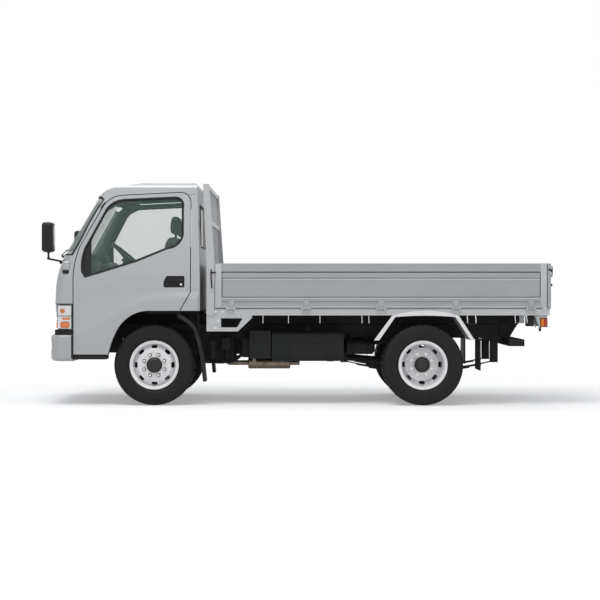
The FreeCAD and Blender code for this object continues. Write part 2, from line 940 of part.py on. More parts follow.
def cab_floor():
    """Footwell, toe board, riser and the deck under the seats, bent from one thick sheet."""
    deck = seat_deck_z
    outline = [
        (toe_board, floor_z), (riser, floor_z), (riser, deck), (cab_rear - cab_wall, deck),
        (cab_rear - cab_wall, deck + floor_thick), (riser - floor_thick, deck + floor_thick),
        (riser - floor_thick, floor_z + floor_thick), (toe_board + floor_thick, floor_z + floor_thick),
        (toe_board + floor_thick, toe_top), (toe_board, toe_top),
    ]
    return side_prism(outline, -floor_half, floor_half)


def dashboard():
    outline = [
        (toe_board + floor_thick, toe_top - floor_thick), (dash_rear - cab_wall, toe_top),
        (dash_rear, dash_top - cab_wall),
        ((dash_rear - floor_thick, dash_top), (dash_rear - 3 * cab_wall, dash_top)),
        (toe_board + floor_thick, dash_top - floor_thick),
    ]
    body = side_prism(outline, -dash_half, dash_half)
    axis = wheel_axis()
    hub = Vector(wheel_centre, wheel_centre_y, wheel_centre_z)
    length = (wheel_centre - dash_rear) / axis.x
    start = hub - axis * (wheel_ring_radius / 3 + overrun / 10)
    end = hub - axis * (length + cab_wall)
    return body.fuse(Part.makeCylinder(column_radius, (start - end).Length, end, axis))


def wheel_axis():
    """The steering column's direction, up and back towards the driver."""
    slope = radians(wheel_slope_deg)
    return Vector(sin(slope), 0, cos(slope))


def steering_wheel():
    """A ring, three spokes and a hub, made flat and tilted onto the column."""
    ring = Part.makeTorus(wheel_ring_radius, wheel_grip_radius)
    hub_r, hub_h = wheel_ring_radius / 4, wheel_ring_radius / 3
    drop = wheel_ring_radius / 6
    hub = Part.makeCylinder(hub_r, hub_h, Vector(0, 0, -hub_h))
    shape = ring.fuse(hub)
    for turn in (90, 210, 330):
        out = Vector(cos(radians(turn)), sin(radians(turn)), 0)
        spoke = rod(tuple(Vector(0, 0, -drop)), tuple(out * wheel_ring_radius), wheel_grip_radius * 3 / 4)
        shape = shape.fuse(spoke)
    shape = shape.removeSplitter()
    shape.rotate(Vector(0, 0, 0), Vector(0, 1, 0), wheel_slope_deg)
    shape.translate(Vector(wheel_centre, wheel_centre_y, wheel_centre_z))
    return shape


def seats():
    """Two seats, each a cushion, a back and a headrest."""
    pieces = []
    foot = seat_deck_z + floor_thick
    lean = seat_back_thick / 2
    for side in (-1, 1):
        y0, y1 = side * seat_y - seat_half_width, side * seat_y + seat_half_width
        pieces.append(box(seat_front, seat_back_foot + seat_back_thick, y0, y1, foot, seat_top))
        back = [
            (seat_back_foot, seat_top), (seat_back_foot + seat_back_thick, seat_top),
            (seat_back_foot + seat_back_thick + lean, seat_back_top), (seat_back_foot + lean, seat_back_top),
        ]
        pieces.append(side_prism(back, y0, y1))
        rest = seat_half_width / 2
        pieces.append(box(seat_back_foot + lean, seat_back_foot + lean + seat_back_thick * 2 / 3,
                          side * seat_y - rest, side * seat_y + rest, seat_back_top, headrest_top))
    return pieces


def bumper_ring(z, inset):
    """A level ring of the bumper, crowned like the cab, set in on its front and ends."""
    front_s = -front_overhang + inset
    half = bumper_half - inset
    big = cab_crown_radius
    centre = front_s + big
    radius = bumper_corner - inset
    corner_y = half - radius
    corner_s = centre - sqrt((big - radius) ** 2 - corner_y ** 2)
    reach = big / (big - radius)
    touch = (centre + (corner_s - centre) * reach, corner_y * reach)
    along = Vector(touch[0] - corner_s, touch[1] - corner_y, 0).normalize() + Vector(0, 1, 0)
    along.normalize()
    mid = (corner_s + along.x * radius, corner_y + along.y * radius)
    ring = [
        (bumper_rear, -half), (corner_s, -half), ((mid[0], -mid[1]), (touch[0], -touch[1])),
        ((front_s, 0), touch), (mid, (corner_s, half)), (bumper_rear, half),
    ]
    return wire(ring, lambda p: Vector(p[0], p[1], z))


def bumper_volume(inset):
    """The bumper as a solid with rounded lower and upper edges, every face set in by the inset."""
    round_low, round_high = bumper_round, bumper_round / 2
    rows = []
    for edge, step, radius in ((bumper_foot + inset, 1, round_low), (bumper_top - inset, -1, round_high)):
        turns = []
        for part in range(5):
            angle = part * pi / 8
            turns.append((edge + step * radius * (1 - cos(angle)), radius * (1 - sin(angle)) + inset))
        rows += turns if step > 0 else turns[::-1]
    return Part.makeLoft([bumper_ring(z, in_by) for z, in_by in rows], True, True)


def bumper():
    """A hollow front bumper with two arms back to the chassis rails."""
    outside = bumper_volume(0)
    walls = outside.cut(bumper_volume(bumper_wall))
    inner_half = bumper_half - bumper_wall - bumper_round
    open_back = box(rail_front - cab_wall, bumper_rear + overrun, -inner_half, inner_half,
                    bumper_foot + bumper_wall, bumper_top + overrun)
    shell = walls.cut(open_back)
    start = -front_overhang + bumper_wall
    arm = box(start, rail_front, -rail_half, -rail_half + rail_flange, rail_foot - cab_wall,
              rail_foot + cab_wall / 2)
    return joined([shell, arm.cut(walls), mirrored(arm.cut(walls))])


def mirrors():
    """Two outside mirrors on bent arms that start from a cover on each front corner."""
    head = box(mirror_front, mirror_rear, -mirror_outer, -mirror_inner, mirror_foot, mirror_top)
    head = head.makeFillet(mirror_round, [e for e in head.Edges])
    middle = (mirror_front + mirror_rear) / 2
    drop = mirror_foot - 2 * mirror_round
    y_mid = -(mirror_inner + mirror_outer) / 2
    elbow = (middle, y_mid, drop)
    top = rod(elbow, (middle, y_mid, mirror_foot + mirror_round), mirror_arm_radius)
    root = (mirror_base, -cab_half + cab_wall * 3 / 2, mirror_base_z + mirror_round)
    low = rod(root, elbow, mirror_arm_radius)
    ball = Part.makeSphere(mirror_arm_radius, Vector(*elbow))
    base = Part.makeCylinder(2 * mirror_arm_radius, cab_wall, Vector(*root), Vector(*elbow) - Vector(*root))
    return head.fuse(top).fuse(low).fuse(ball).fuse(base)


# Wheels and steering

def turned(profile, y):
    """A profile of (radius, distance out from y) turned about an axle line; out is towards minus Y."""
    face = Part.Face(wire(profile, lambda p: Vector(0, y - p[1], p[0])))
    return face.revolve(Vector(0, 0, 0), Vector(0, 1, 0), 360)


def set_on_axle(shape, station):
    shape.translate(Vector(station, 0, axle_z))
    return shape


def tyre(y):
    """A tyre centred at y: beads between the rim's flanges, bulged walls and rounded shoulders."""
    half = tyre_width / 2
    bead = rim_half - rim_wall
    shoulder = tyre_radius - tyre_width / 7
    quarter = [
        (bead_radius, bead), (rim_radius + rim_wall / 2, bead), (rim_radius + 2 * rim_wall, half * 7 / 8),
        ((tyre_radius + rim_radius) / 2, half), (shoulder, half * 15 / 16), (tyre_radius - rim_wall / 2,
                                                                             half * 3 / 4),
        (tyre_radius, half * 3 / 8),
    ]
    points = [(r, -out) for r, out in quarter] + [(r, out) for r, out in reversed(quarter)]
    return turned(points, y)


def rim(y, facing, mount):
    """A pressed rim centred at y: a barrel, two flanges and a dished disc with hand holes.

    The disc's mounting face lies the mount distance from the rim's middle, outboard where facing is 1.
    """
    wall = rim_wall
    well = bead_radius - wall
    edge = rim_half
    outside = [(rim_radius, edge), (rim_radius, edge - wall), (bead_radius, edge - wall),
               (bead_radius, edge / 2 + wall), (well, edge / 2 - wall)]
    inside = [(rim_radius - wall, edge), (well, edge - wall), (well, edge / 2 + wall),
              (well - wall, edge / 2 - wall)]
    profile = (outside + [(r, -out) for r, out in reversed(outside)] + [(r, -out) for r, out in inside]
               + [(r, out) for r, out in reversed(inside)])
    barrel = turned(profile, y)
    root = (edge / 2 - wall) * 2 / 3
    lip = well - wall / 2
    rise = mount - root
    sheet = wall * 4 / 3
    face = [(lip, root), (lip - 2 * wall, root + rise / 3),
            (hand_hole_circle - hand_hole_radius, mount - rise / 10),
            (disc_flat_radius, mount), (hub_radius - wall, mount)]
    disc = face + [(r - (wall / 4 if r > disc_flat_radius else 0), out - sheet) for r, out in reversed(face)]
    disc_solid = turned([(r, facing * out) for r, out in disc], y)
    holes = []
    reach = mount + tyre_width
    for index in range(hand_hole_count):
        slot = Part.makeBox(2 * hand_hole_half, reach, 2 * hand_hole_radius,
                            Vector(-hand_hole_half, 0, hand_hole_circle - hand_hole_radius))
        for end in (-1, 1):
            slot = slot.fuse(Part.makeCylinder(hand_hole_radius, reach,
                                               Vector(end * hand_hole_half, 0, hand_hole_circle),
                                               Vector(0, 1, 0)))
        slot.translate(Vector(0, y - (reach if facing > 0 else 0), 0))
        slot.rotate(Vector(0, 0, 0), Vector(0, 1, 0), index * 360 / hand_hole_count)
        holes.append(slot)
    return barrel.fuse(disc_solid.cut(Part.makeCompound(holes)))


def front_wheel():
    """The left front wheel: a tyre, and a rim with its hub, cap and brake drum."""
    y = -front_track_half
    mount = front_disc_out
    hub_back = front_track_half - backing_y - drum_gap
    cap = mount + hub_reach
    drum_wall = rim_wall * 2
    hub = turned([(spindle_radius + fit_gap, -hub_back), (hub_radius, -hub_back),
                  (hub_radius, cap - hub_reach / 2),
                  (hub_radius - hub_reach / 2, cap), (0, cap), (0, cap - hub_reach / 2),
                  (spindle_radius + fit_gap, cap - hub_reach / 2)], y)
    drum = turned([(hub_radius - rim_wall, mount - drum_wall - rim_wall),
                   (hub_radius - rim_wall, mount - rim_wall),
                   (drum_radius, mount - rim_wall), (drum_radius, -hub_back),
                   (drum_radius - drum_wall, -hub_back), (drum_radius - drum_wall,
                                                          mount - drum_wall - rim_wall)], y)
    solid = rim(y, 1, mount).fuse(hub).fuse(drum).removeSplitter()
    return set_on_axle(tyre(y), 0), set_on_axle(solid, 0)


def rear_wheels():
    """The left rear twin: two tyres, and two rims back to back on one hub with a brake drum."""
    offset = dual_spacing / 2
    outer_y, inner_y = -rear_track_half - offset, -rear_track_half + offset
    pair = rim(outer_y, -1, offset).fuse(rim(inner_y, 1, offset))
    back = rear_track_half - rear_drum_y
    cap = rear_hub_out
    drum_wall = rim_wall * 2
    hub = turned([(spindle_radius + fit_gap, -back), (hub_radius, -back), (hub_radius, cap - hub_reach / 2),
                  (hub_radius - hub_reach / 2, cap), (0, cap), (0, cap - hub_reach / 2),
                  (spindle_radius + fit_gap, cap - hub_reach / 2)], -rear_track_half)
    drum = turned([(hub_radius - rim_wall, -2 * drum_wall), (hub_radius - rim_wall, -rim_wall),
                   (drum_radius, -rim_wall), (drum_radius, -back), (drum_radius - drum_wall, -back),
                   (drum_radius - drum_wall, -2 * drum_wall)], -rear_track_half)
    solid = pair.fuse(hub).fuse(drum).removeSplitter()
    tyres = Part.makeCompound([tyre(outer_y), tyre(inner_y)])
    return set_on_axle(tyres, wheelbase), set_on_axle(solid, wheelbase)


def front_axle():
    """A straight beam with a boss and kingpin at each end and a pad under each spring."""
    half_h, half_w = axle_beam_height / 2, axle_beam_width / 2
    beam = box(-half_w, half_w, -kingpin_half, kingpin_half, axle_z - half_h, axle_z + half_h)
    solids = [beam]
    reach = half_h + fork_gap + fork_thick
    for side in (-1, 1):
        y = side * kingpin_half
        solids.append(Part.makeCylinder(boss_radius, axle_beam_height, Vector(0, y, axle_z - half_h)))
        solids.append(Part.makeCylinder(kingpin_radius, 2 * reach, Vector(0, y, axle_z - reach)))
        pad_y = side * spring_half
        solids.append(box(-spring_width, spring_width, pad_y - spring_width / 2, pad_y + spring_width / 2,
                          axle_z + half_h, axle_z + half_h + spring_pad))
    return joined(solids)


def knuckle():
    """The left steering knuckle: a fork round the axle's boss, a spindle, a brake plate and an arm."""
    y = -kingpin_half
    half_h = axle_beam_height / 2
    top = axle_z + half_h + fork_gap
    foot = axle_z - half_h - fork_gap - fork_thick
    solids = []
    for z in (top, foot):
        solids.append(Part.makeCylinder(fork_radius, fork_thick, Vector(0, y, z)))
        solids.append(box(-fork_radius, fork_radius, -backing_y, y, z, z + fork_thick))
    solids.append(box(-fork_radius, fork_radius, -backing_y, -backing_y + web_thick, foot, top + fork_thick))
    plate_y = -backing_y
    solids.append(Part.makeCylinder(drum_radius - rim_wall, web_thick,
                                    Vector(0, plate_y - web_thick, axle_z), Vector(0, 1, 0)))
    spindle = front_track_half - backing_y + front_disc_out
    solids.append(Part.makeCylinder(spindle_radius, spindle, Vector(0, plate_y - spindle, axle_z),
                                    Vector(0, 1, 0)))
    arm_half = fork_radius / 3
    solids.append(box(0, arm_length, y - arm_half, y + arm_half, foot, foot + fork_thick))
    solids.append(Part.makeCylinder(arm_half * 3 / 2, fork_thick, Vector(arm_length, y, foot)))
    solids.append(Part.makeCylinder(tie_pin_radius, tie_drop + fork_thick / 2,
                                    Vector(arm_length, y, foot - tie_drop)))
    whole = joined(solids)
    bore = Part.makeCylinder(kingpin_radius + fit_gap, axle_z, Vector(0, y, axle_z / 2))
    return whole.cut(bore)


def tie_rod():
    """The rod that joins the two steering arms, with an eye round each arm's pin."""
    foot = axle_z - axle_beam_height / 2 - fork_gap - fork_thick - tie_drop
    mid = foot + tie_drop / 2
    eye_h = tie_drop - 2 * fork_gap
    bar = rod((arm_length, -kingpin_half + tie_eye_radius / 2, mid),
              (arm_length, kingpin_half - tie_eye_radius / 2, mid),
              tie_radius)
    solids = [bar]
    for side in (-1, 1):
        solids.append(Part.makeCylinder(tie_eye_radius, eye_h,
                                        Vector(arm_length, side * kingpin_half, foot + fork_gap)))
    whole = joined(solids)
    for side in (-1, 1):
        whole = whole.cut(Part.makeCylinder(tie_pin_radius + fit_gap, 2 * eye_h,
                                            Vector(arm_length, side * kingpin_half, foot - eye_h / 2)))
    return whole


def rear_axle():
    """A tube with a round differential housing, brake plates, spindles and spring pads."""
    solids = [rod((wheelbase, -rear_drum_y + drum_gap, axle_z), (wheelbase, rear_drum_y - drum_gap, axle_z),
                  rear_tube_radius)]
    half = diff_radius * 2 / 3
    housing = Part.makeCylinder(diff_radius, half * 2, Vector(wheelbase - half, 0, axle_z), Vector(1, 0, 0))
    rims = [e for e in housing.Edges if abs(e.Length - 2 * pi * diff_radius) < overrun]
    housing = housing.makeFillet(half / 2, rims)
    solids.append(housing)
    solids.append(rod((wheelbase - diff_radius * 7 / 5, 0, axle_z), (wheelbase, 0, axle_z), rear_tube_radius))
    spring_top = axle_z - rear_tube_radius - spring_pad
    for side in (-1, 1):
        plate = side * (rear_drum_y - drum_gap)
        solids.append(rod((wheelbase, plate, axle_z), (wheelbase, plate - side * web_thick, axle_z),
                          drum_radius - rim_wall))
        solids.append(rod((wheelbase, plate, axle_z),
                          (wheelbase, side * (rear_track_half + rear_hub_out - hub_reach),
                           axle_z), spindle_radius))
        pad_y = side * spring_half
        solids.append(box(wheelbase - spring_width, wheelbase + spring_width, pad_y - spring_width / 2,
                          pad_y + spring_width / 2, spring_top, axle_z))
    return joined(solids)


def leaf_spring(centre, top, length, rise):
    """A pack of curved leaves, each shorter than the one above, with an eye at each end of the top one."""
    half = length / 2
    radius = (half * half + rise * rise) / (2 * rise)
    y0, y1 = -spring_half - spring_width / 2, -spring_half + spring_width / 2
    middle_z = top + radius
    leaves = []
    for index in range(spring_leaves):
        inner = radius + index * spring_leaf
        outer = inner + spring_leaf
        angle = half / radius * (1 - index / (spring_leaves + 1.0))
        arc = [(inner, -angle), (inner, 0), (inner, angle), (outer, angle), (outer, 0), (outer, -angle)]
        at = [(centre + r * sin(a), middle_z - r * cos(a)) for r, a in arc]
        leaves.append(side_prism([at[0], (at[1], at[2]), at[3], (at[4], at[5])], y0, y1))
    pack = joined(leaves)
    end = half / radius
    for side in (-1, 1):
        s = centre + side * radius * sin(end)
        z = middle_z - radius * cos(end)
        pack = pack.fuse(rod((s, y0, z), (s, y1, z), 2 * spring_leaf))
    return pack.removeSplitter()


def springs():
    front_top = axle_z + axle_beam_height / 2 + spring_pad + spring_leaf * spring_leaves
    rear_top = axle_z - rear_tube_radius - spring_pad
    front = leaf_spring(0, front_top, front_spring_length, front_spring_rise)
    rear = leaf_spring(wheelbase, rear_top, rear_spring_length, rear_spring_rise)
    return both_sides(Part.makeCompound([front, rear.cut(rear_axle())]))


# Chassis

def rail():
    """The left rail, a channel open towards the middle."""
    y0, y1 = -rail_half, -rail_half + rail_flange
    web = rail_half - rail_wall
    points = [
        (y0, rail_foot), (y1, rail_foot), (y1, rail_foot + rail_wall), (-web, rail_foot + rail_wall),
        (-web, rail_top - rail_wall), (y1, rail_top - rail_wall), (y1, rail_top), (y0, rail_top),
    ]
    return front_prism(points, rail_front, rail_rear)


def crossmembers():
    """Channels between the rails, spring hangers, cab mounts, and the pivot brackets of the hoist."""
    solids = []
    web = rail_half - rail_wall
    foot, top = rail_foot + rail_wall, rail_top - rail_wall
    for station, head in (
        (rail_front + cross_width, top), (gearbox_rear, top), (barrel_s - cross_width * 3 / 2, top),
        (rear_cross, rear_cross_top), (rail_rear, top),
    ):
        s0, s1 = station - cross_width, station
        channel = box(s0, s1, -web, web, foot, head)
        slot = box(s0 + rail_wall, s1 - rail_wall, -rail_half + rail_flange, rail_half - rail_flange,
                   foot - overrun, head - rail_wall)
        solids.append(channel.cut(slot))
    plate = hanger_plate
    y_out = spring_half + spring_width / 2
    y_in = spring_half - spring_width / 2
    for centre, length, rise, top_z in (
        (0, front_spring_length, front_spring_rise,
         axle_z + axle_beam_height / 2 + spring_pad + spring_leaf * spring_leaves),
        (wheelbase, rear_spring_length, rear_spring_rise, axle_z - rear_tube_radius - spring_pad),
    ):
        for end in (-1, 1):
            s = centre + end * length / 2
            z = top_z + rise
            for side in (-1, 1):
                for y in (y_out, y_in - plate):
                    low = z - 2 * spring_leaf
                    high = rail_foot + rail_height / 2 if y == y_out else rail_foot + rail_wall
                    ys = sorted((side * y, side * (y + plate)))
                    solids.append(box(s - hanger_half, s + hanger_half, ys[0], ys[1], low, high))
    for side in (-1, 1):
        ys = sorted((side * (rail_half - rail_wall), side * (rail_half - rail_flange + rail_wall)))
        solids.append(box(mount_front, mount_front + cross_width, ys[0], ys[1], rail_top, floor_z))
        solids.append(box(mount_rear, mount_rear + cross_width, ys[0], ys[1], rail_top, seat_deck_z))
    return solids


def hoist_brackets():
    """Two plates that carry the hoist's lower pin, behind a crossmember."""
    solids = []
    cross_s = barrel_s - cross_width * 3 / 2
    for side in (-1, 1):
        y0 = side * (eye_half + move_gap)
        y1 = side * (eye_half + move_gap + lift_ear_thick)
        ys = sorted((y0, y1))
        points = [
            (cross_s, rail_top - rail_wall), (cross_s, rail_foot), (barrel_s - eye_ring_radius / 2,
                                                                    barrel_z - eye_ring_radius),
            ((barrel_s + eye_ring_radius, barrel_z), (barrel_s, barrel_z + eye_ring_radius)),
        ]
        solids.append(side_prism(points, ys[0], ys[1]))
    reach = eye_half + move_gap + lift_ear_thick
    solids.append(rod((barrel_s, -reach, barrel_z), (barrel_s, reach, barrel_z), lift_pin_radius))
    return joined(solids)


def tip_brackets():
    """Plates on the rails' rear ends that carry the bed's tipping pins."""
    y0, y1 = -rail_half - tip_ear_thick, -rail_half
    r = tip_ear_radius
    points = [
        (rail_rear - cross_width, rail_foot + rail_wall), (rail_rear, rail_foot + rail_wall),
        (tip_s + r * sin(pi / 4), tip_z - r * cos(pi / 4)),
        ((tip_s + r * sin(pi / 4), tip_z + r * cos(pi / 4)),
         (tip_s - r * sin(pi / 4), tip_z + r * cos(pi / 4))),
        (rail_rear - cross_width, rail_top),
    ]
    plate = side_prism(points, y0, y1)
    pin = rod((tip_s, y0, tip_z), (tip_s, -rail_half + rail_flange, tip_z), tip_pin_radius)
    return both_sides(plate.fuse(pin))


def engine():
    """Engine, gearbox and propeller shaft as plain blocks, with mounts into the rails."""
    block = box(engine_front, engine_rear, -engine_half, engine_half, engine_foot, engine_top)
    gearbox = box(engine_rear, gearbox_rear, -gearbox_half, gearbox_half, engine_foot, rail_foot + rail_wall)
    web = rail_half - rail_wall
    mount = box(engine_front + engine_half, engine_front + engine_half + cross_width, -web, web,
                rail_foot + rail_wall, rail_top - rail_wall)
    shaft_end = (wheelbase - diff_radius * 7 / 5, 0, axle_z)
    shaft_start = (gearbox_rear, 0, engine_foot + gearbox_half / 3)
    shaft = rod(shaft_start, shaft_end, shaft_radius)
    shaft = shaft.fuse(Part.makeSphere(shaft_radius * 4 / 3, Vector(*shaft_start)))
    shaft = shaft.cut(box(shaft_end[0], wheelbase, -diff_radius, diff_radius, 0, axle_z * 2))
    return joined([block, gearbox, mount, shaft])


def round_rect(y0, y1, z0, z1, radius, s0, s1):
    """A block along the truck with its four long edges rounded."""
    k = radius * (1 - sin(pi / 4))
    points = [
        (y0 + radius, z0), (y1 - radius, z0), ((y1 - k, z0 + k), (y1, z0 + radius)), (y1, z1 - radius),
        ((y1 - k, z1 - k), (y1 - radius, z1)), (y0 + radius, z1), ((y0 + k, z1 - k), (y0, z1 - radius)),
        (y0, z0 + radius), ((y0 + k, z0 + k), (y0 + radius, z0)),
    ]
    return front_prism(points, s0, s1)


def fuel_tank():
    """A rounded tank in two bands, on brackets from the left rail, with a filler neck."""
    tank = round_rect(-tank_outer, -tank_inner, tank_foot, tank_top, tank_round, tank_front, tank_rear)
    solids = [tank]
    third = (tank_rear - tank_front) / 4
    for centre in (tank_front + third * 3 / 4, tank_rear - third * 3 / 4):
        s0, s1 = centre - strap_band / 2, centre + strap_band / 2
        solids.append(round_rect(-tank_outer - strap_plate, -tank_inner + strap_plate,
                                 tank_foot - strap_plate,
                                 tank_top + strap_plate, tank_round + strap_plate, s0, s1))
        solids.append(box(s0, s1, -tank_inner - tank_round, -rail_half, tank_top - tank_round * 2,
                          tank_top - tank_round / 2))
    neck_s = (tank_front + tank_rear) / 2
    neck_y = -tank_outer + tank_round * 3 / 2
    solids.append(rod((neck_s, neck_y, tank_top - strap_plate),
                      (neck_s, neck_y, tank_top + tank_round * 2 / 3), tank_round * 2 / 3))
    return joined(solids)


def battery_box():
    case = round_rect(-tank_outer, -tank_inner, battery_foot, battery_top, tank_round / 4, battery_front,
                      battery_rear)
    carrier = box(battery_front + strap_band, battery_rear - strap_band, -tank_inner - strap_band, -rail_half,
                  rail_foot + rail_wall, battery_top - tank_round / 2)
    return joined([case, carrier])


def exhaust():
    """A silencer on two hangers from the left rail, with its pipes."""
    body = rod((muffler_front, muffler_y, muffler_z), (muffler_rear, muffler_y, muffler_z), muffler_radius)
    ends = [e for e in body.Edges if abs(e.Length - 2 * pi * muffler_radius) < overrun]
    body = body.makeFillet(muffler_radius / 4, ends)
    bend = (muffler_front - cross_width * 2, muffler_y, muffler_z)
    solids = [
        body, rod((muffler_front + pipe_radius, muffler_y, muffler_z), bend,
                  pipe_radius), Part.makeSphere(pipe_radius, Vector(*bend)),
        rod(bend, (bend[0] - cross_width * 2, -engine_half + pipe_radius / 2, engine_foot + pipe_radius),
            pipe_radius),
        rod((muffler_rear - pipe_radius, muffler_y, muffler_z),
            (muffler_rear + cross_width, muffler_y, muffler_z), pipe_radius),
    ]
    whole = joined(solids)
    block = box(engine_front, engine_rear, -engine_half, engine_half, engine_foot, engine_top)
    whole = whole.cut(block).cut(box(engine_rear, gearbox_rear, -gearbox_half, gearbox_half, engine_foot,
                                     rail_foot))
    for s in (muffler_front + cross_width / 2, muffler_rear - cross_width):
        hanger = box(s, s + strap_band / 2, -rail_half + rail_flange - rail_wall * 2,
                     -rail_half + rail_flange - rail_wall,
                     muffler_z, rail_foot)
        whole = whole.fuse(hanger)
    return whole.removeSplitter()


def mudguards():
    """A curved guard behind each front wheel, and a hanging flap on a bar behind each rear pair."""
    t = guard_thick
    guard_points = [
        (guard_start, guard_start_z), ((guard_arc_s, guard_arc_z), (guard_knee, guard_knee_z)),
        ((guard_bend, guard_bend_z), (guard_low, guard_low_z)),
        (guard_foot_s, guard_foot), (guard_foot_s - t, guard_foot), (guard_low - t, guard_low_z),
        ((guard_bend - t, guard_bend_z), (guard_knee - t, guard_knee_z - t / 2)),
        ((guard_arc_s - t * 2 / 3, guard_arc_z - t), (guard_start, guard_start_z - t * 3 / 2)),
    ]
    guard = side_prism(guard_points, -cab_half, -guard_inner)
    strut = box(guard_strut, guard_strut + t / 2, -guard_inner - 3 * t, -guard_inner - t, guard_strut_foot,
                arch_top)
    guard = guard.fuse(strut).removeSplitter()
    bar_z = flap_top + flap_bar_radius
    bar = rod((flap_s, -rail_half, bar_z), (flap_s, -flap_outer, bar_z), flap_bar_radius)
    flap = box(flap_s - flap_thick / 2, flap_s + flap_thick / 2, -flap_outer, -flap_inner, flap_foot, bar_z)
    return both_sides(Part.makeCompound([guard, bar.fuse(flap).removeSplitter()]))


def underrun():
    """A square bar across the rear, on webs under the rails."""
    bar = box(underrun_front, underrun_rear, -underrun_half, underrun_half, underrun_foot, underrun_top)
    hollow = box(underrun_front + bumper_wall, underrun_rear - bumper_wall, -underrun_half - overrun,
                 underrun_half + overrun,
                 underrun_foot + bumper_wall, underrun_top - bumper_wall)
    web = side_prism([(underrun_web_front, rail_foot), (underrun_front, rail_foot),
                      (underrun_front, underrun_foot)],
                     -rail_half, -rail_half + rail_flange)
    return joined([bar.cut(hollow), web, mirrored(web)])


def steps():
    """A tread under each door, hung from the cab floor on a plate."""
    tread = box(step_front, step_rear, -step_outer, -step_inner, step_foot, step_top)
    plate = box(step_front, step_rear, -step_inner - step_wall, -step_inner, step_foot, floor_z)
    return both_sides(joined([tread, plate]))


# Bed

def bed_frame():
    """Sills, crossmembers and two long bearers, with the tipping ears and the hoist's ears."""
    y = sill_half
    ring = box(bed_front, bed_rear, -y, y, sill_foot, sill_top)
    ring = ring.cut(box(bed_front + sill_depth, bed_rear - sill_depth, -y + sill_depth, y - sill_depth,
                        sill_foot - overrun, sill_top + overrun))
    cross_top = deck_top - deck_thick
    solids = [ring]
    inner = y - sill_depth + overrun / 4
    count = bed_cross_count
    span = (lift_s - bed_front) / count
    stations = [bed_front + span * (i + 1) for i in range(count)]
    stations.append(lift_s + (bed_rear - sill_depth - lift_s) / 3)
    stations.append(tip_s + tip_ear_radius + sill_depth / 2 + move_gap)
    for s in stations:
        half = sill_depth / 2
        solids.append(box(s - half, s + half, -inner, inner, sill_foot, cross_top))
    bearer = box(bed_rail_front, tip_s, -rail_half, -rail_half + rail_flange, bed_rail_foot,
                 sill_foot + overrun / 2)
    ear_room = box(tip_s - 2 * tip_ear_radius, tip_s + tip_ear_radius, -rail_half - overrun, 0, rail_top,
                   sill_foot)
    ear = Part.makeCylinder(tip_ear_radius, rail_flange - 2 * ear_gap,
                            Vector(tip_s, -rail_half + ear_gap * 2, tip_z), Vector(0, 1, 0))
    ear = ear.fuse(box(tip_s - 2 * tip_ear_radius, tip_s + tip_ear_radius, -rail_half + 2 * ear_gap,
                       -rail_half + rail_flange,
                       tip_z, sill_foot + overrun / 2))
    side = bearer.cut(ear_room).fuse(ear)
    side = side.cut(rod((tip_s, -rail_half - overrun, tip_z),
                        (tip_s, -rail_half + rail_flange + overrun, tip_z), tip_pin_radius + fit_gap))
    solids += [side, mirrored(side)]
    ring_out = lift_pin_radius + lift_play + lift_ear_thick
    for end in (-1, 1):
        y0 = end * (eye_half + move_gap)
        y1 = end * (eye_half + move_gap + lift_ear_thick)
        ys = sorted((y0, y1))
        plate = Part.makeCylinder(ring_out, lift_ear_thick, Vector(lift_s, ys[0], lift_z), Vector(0, 1, 0))
        plate = plate.fuse(box(lift_s - ring_out, lift_s + ring_out, ys[0], ys[1], lift_z,
                               sill_foot + overrun / 2))
        plate = plate.cut(rod((lift_s, ys[0] - overrun, lift_z), (lift_s, ys[1] + overrun, lift_z),
                              lift_pin_radius + lift_play))
        solids.append(plate)
    return joined(solids)


def deck():
    return box(bed_front + sill_depth, bed_rear - sill_depth, -sill_half + sill_depth, sill_half - sill_depth,
               deck_top - deck_thick, deck_top)


def headboard():
    """Two leaning corner posts, a panel as high as the gates, and an open guard above it."""
    lean = post_lean
    post = [
        (bed_front, sill_foot), (bed_front + post_depth, sill_foot), (bed_front + post_depth, gate_top),
        (bed_front - lean + post_depth_top, post_top), (bed_front - lean, post_top), (bed_front, gate_top),
    ]
    solid_post = side_prism(post, -body_half, -body_half + post_width)
    notch = box(bed_front - overrun, bed_front + post_depth + overrun, -sill_half, 0, sill_foot - overrun,
                sill_top)
    solid_post = solid_post.cut(notch)
    solids = [solid_post, mirrored(solid_post)]
    y = body_half - post_width + overrun / 4
    panel = box(bed_front + post_depth / 2, bed_front + post_depth / 2 + head_skin, -y, y, sill_top, gate_top)
    solids.append(panel)
    for z in (gate_top - head_rail, (gate_top + post_top) / 2, post_top - head_rail):
        shift = lean * max(z - gate_top, 0) / (post_top - gate_top)
        s0 = bed_front + post_wall - shift
        solids.append(box(s0, s0 + head_rail, -y, y, z, z + head_rail))
    pitch = 2 * y / (head_bars + 1)
    for index in range(head_bars):
        at = -y + pitch * (index + 1)
        mid = bed_front + post_wall + head_rail / 2
        solids.append(rod((mid, at, gate_top - head_rail / 2),
                          (mid - lean + post_wall / 2, at, post_top - head_rail / 2), head_bar_radius))
    return joined(solids)


def corner_guards():
    """A post foot under each front corner of the bed, with a windowed plate behind it."""
    foot = box(bed_front, bed_front + post_depth, -sill_half, -sill_half + post_width, post_foot, sill_foot)
    y0, y1 = -sill_half, -sill_half + post_wall
    points = [
        (bed_front + overrun, sill_foot), (bed_front + overrun, post_foot), (corner_heel,
                                                                             post_foot), (corner_tip,
                                                                                          corner_tip_z),
        (corner_tip, sill_foot),
    ]
    hole = [
        (corner_hole_front, corner_hole_foot), (corner_hole_heel, corner_hole_foot), (corner_hole_tip,
                                                                                      corner_hole_top),
        (corner_hole_front, corner_hole_top),
    ]
    plate = side_prism(points, y0, y1).cut(side_prism(hole, y0 - overrun, y1 + overrun))
    return both_sides(joined([foot, plate]))


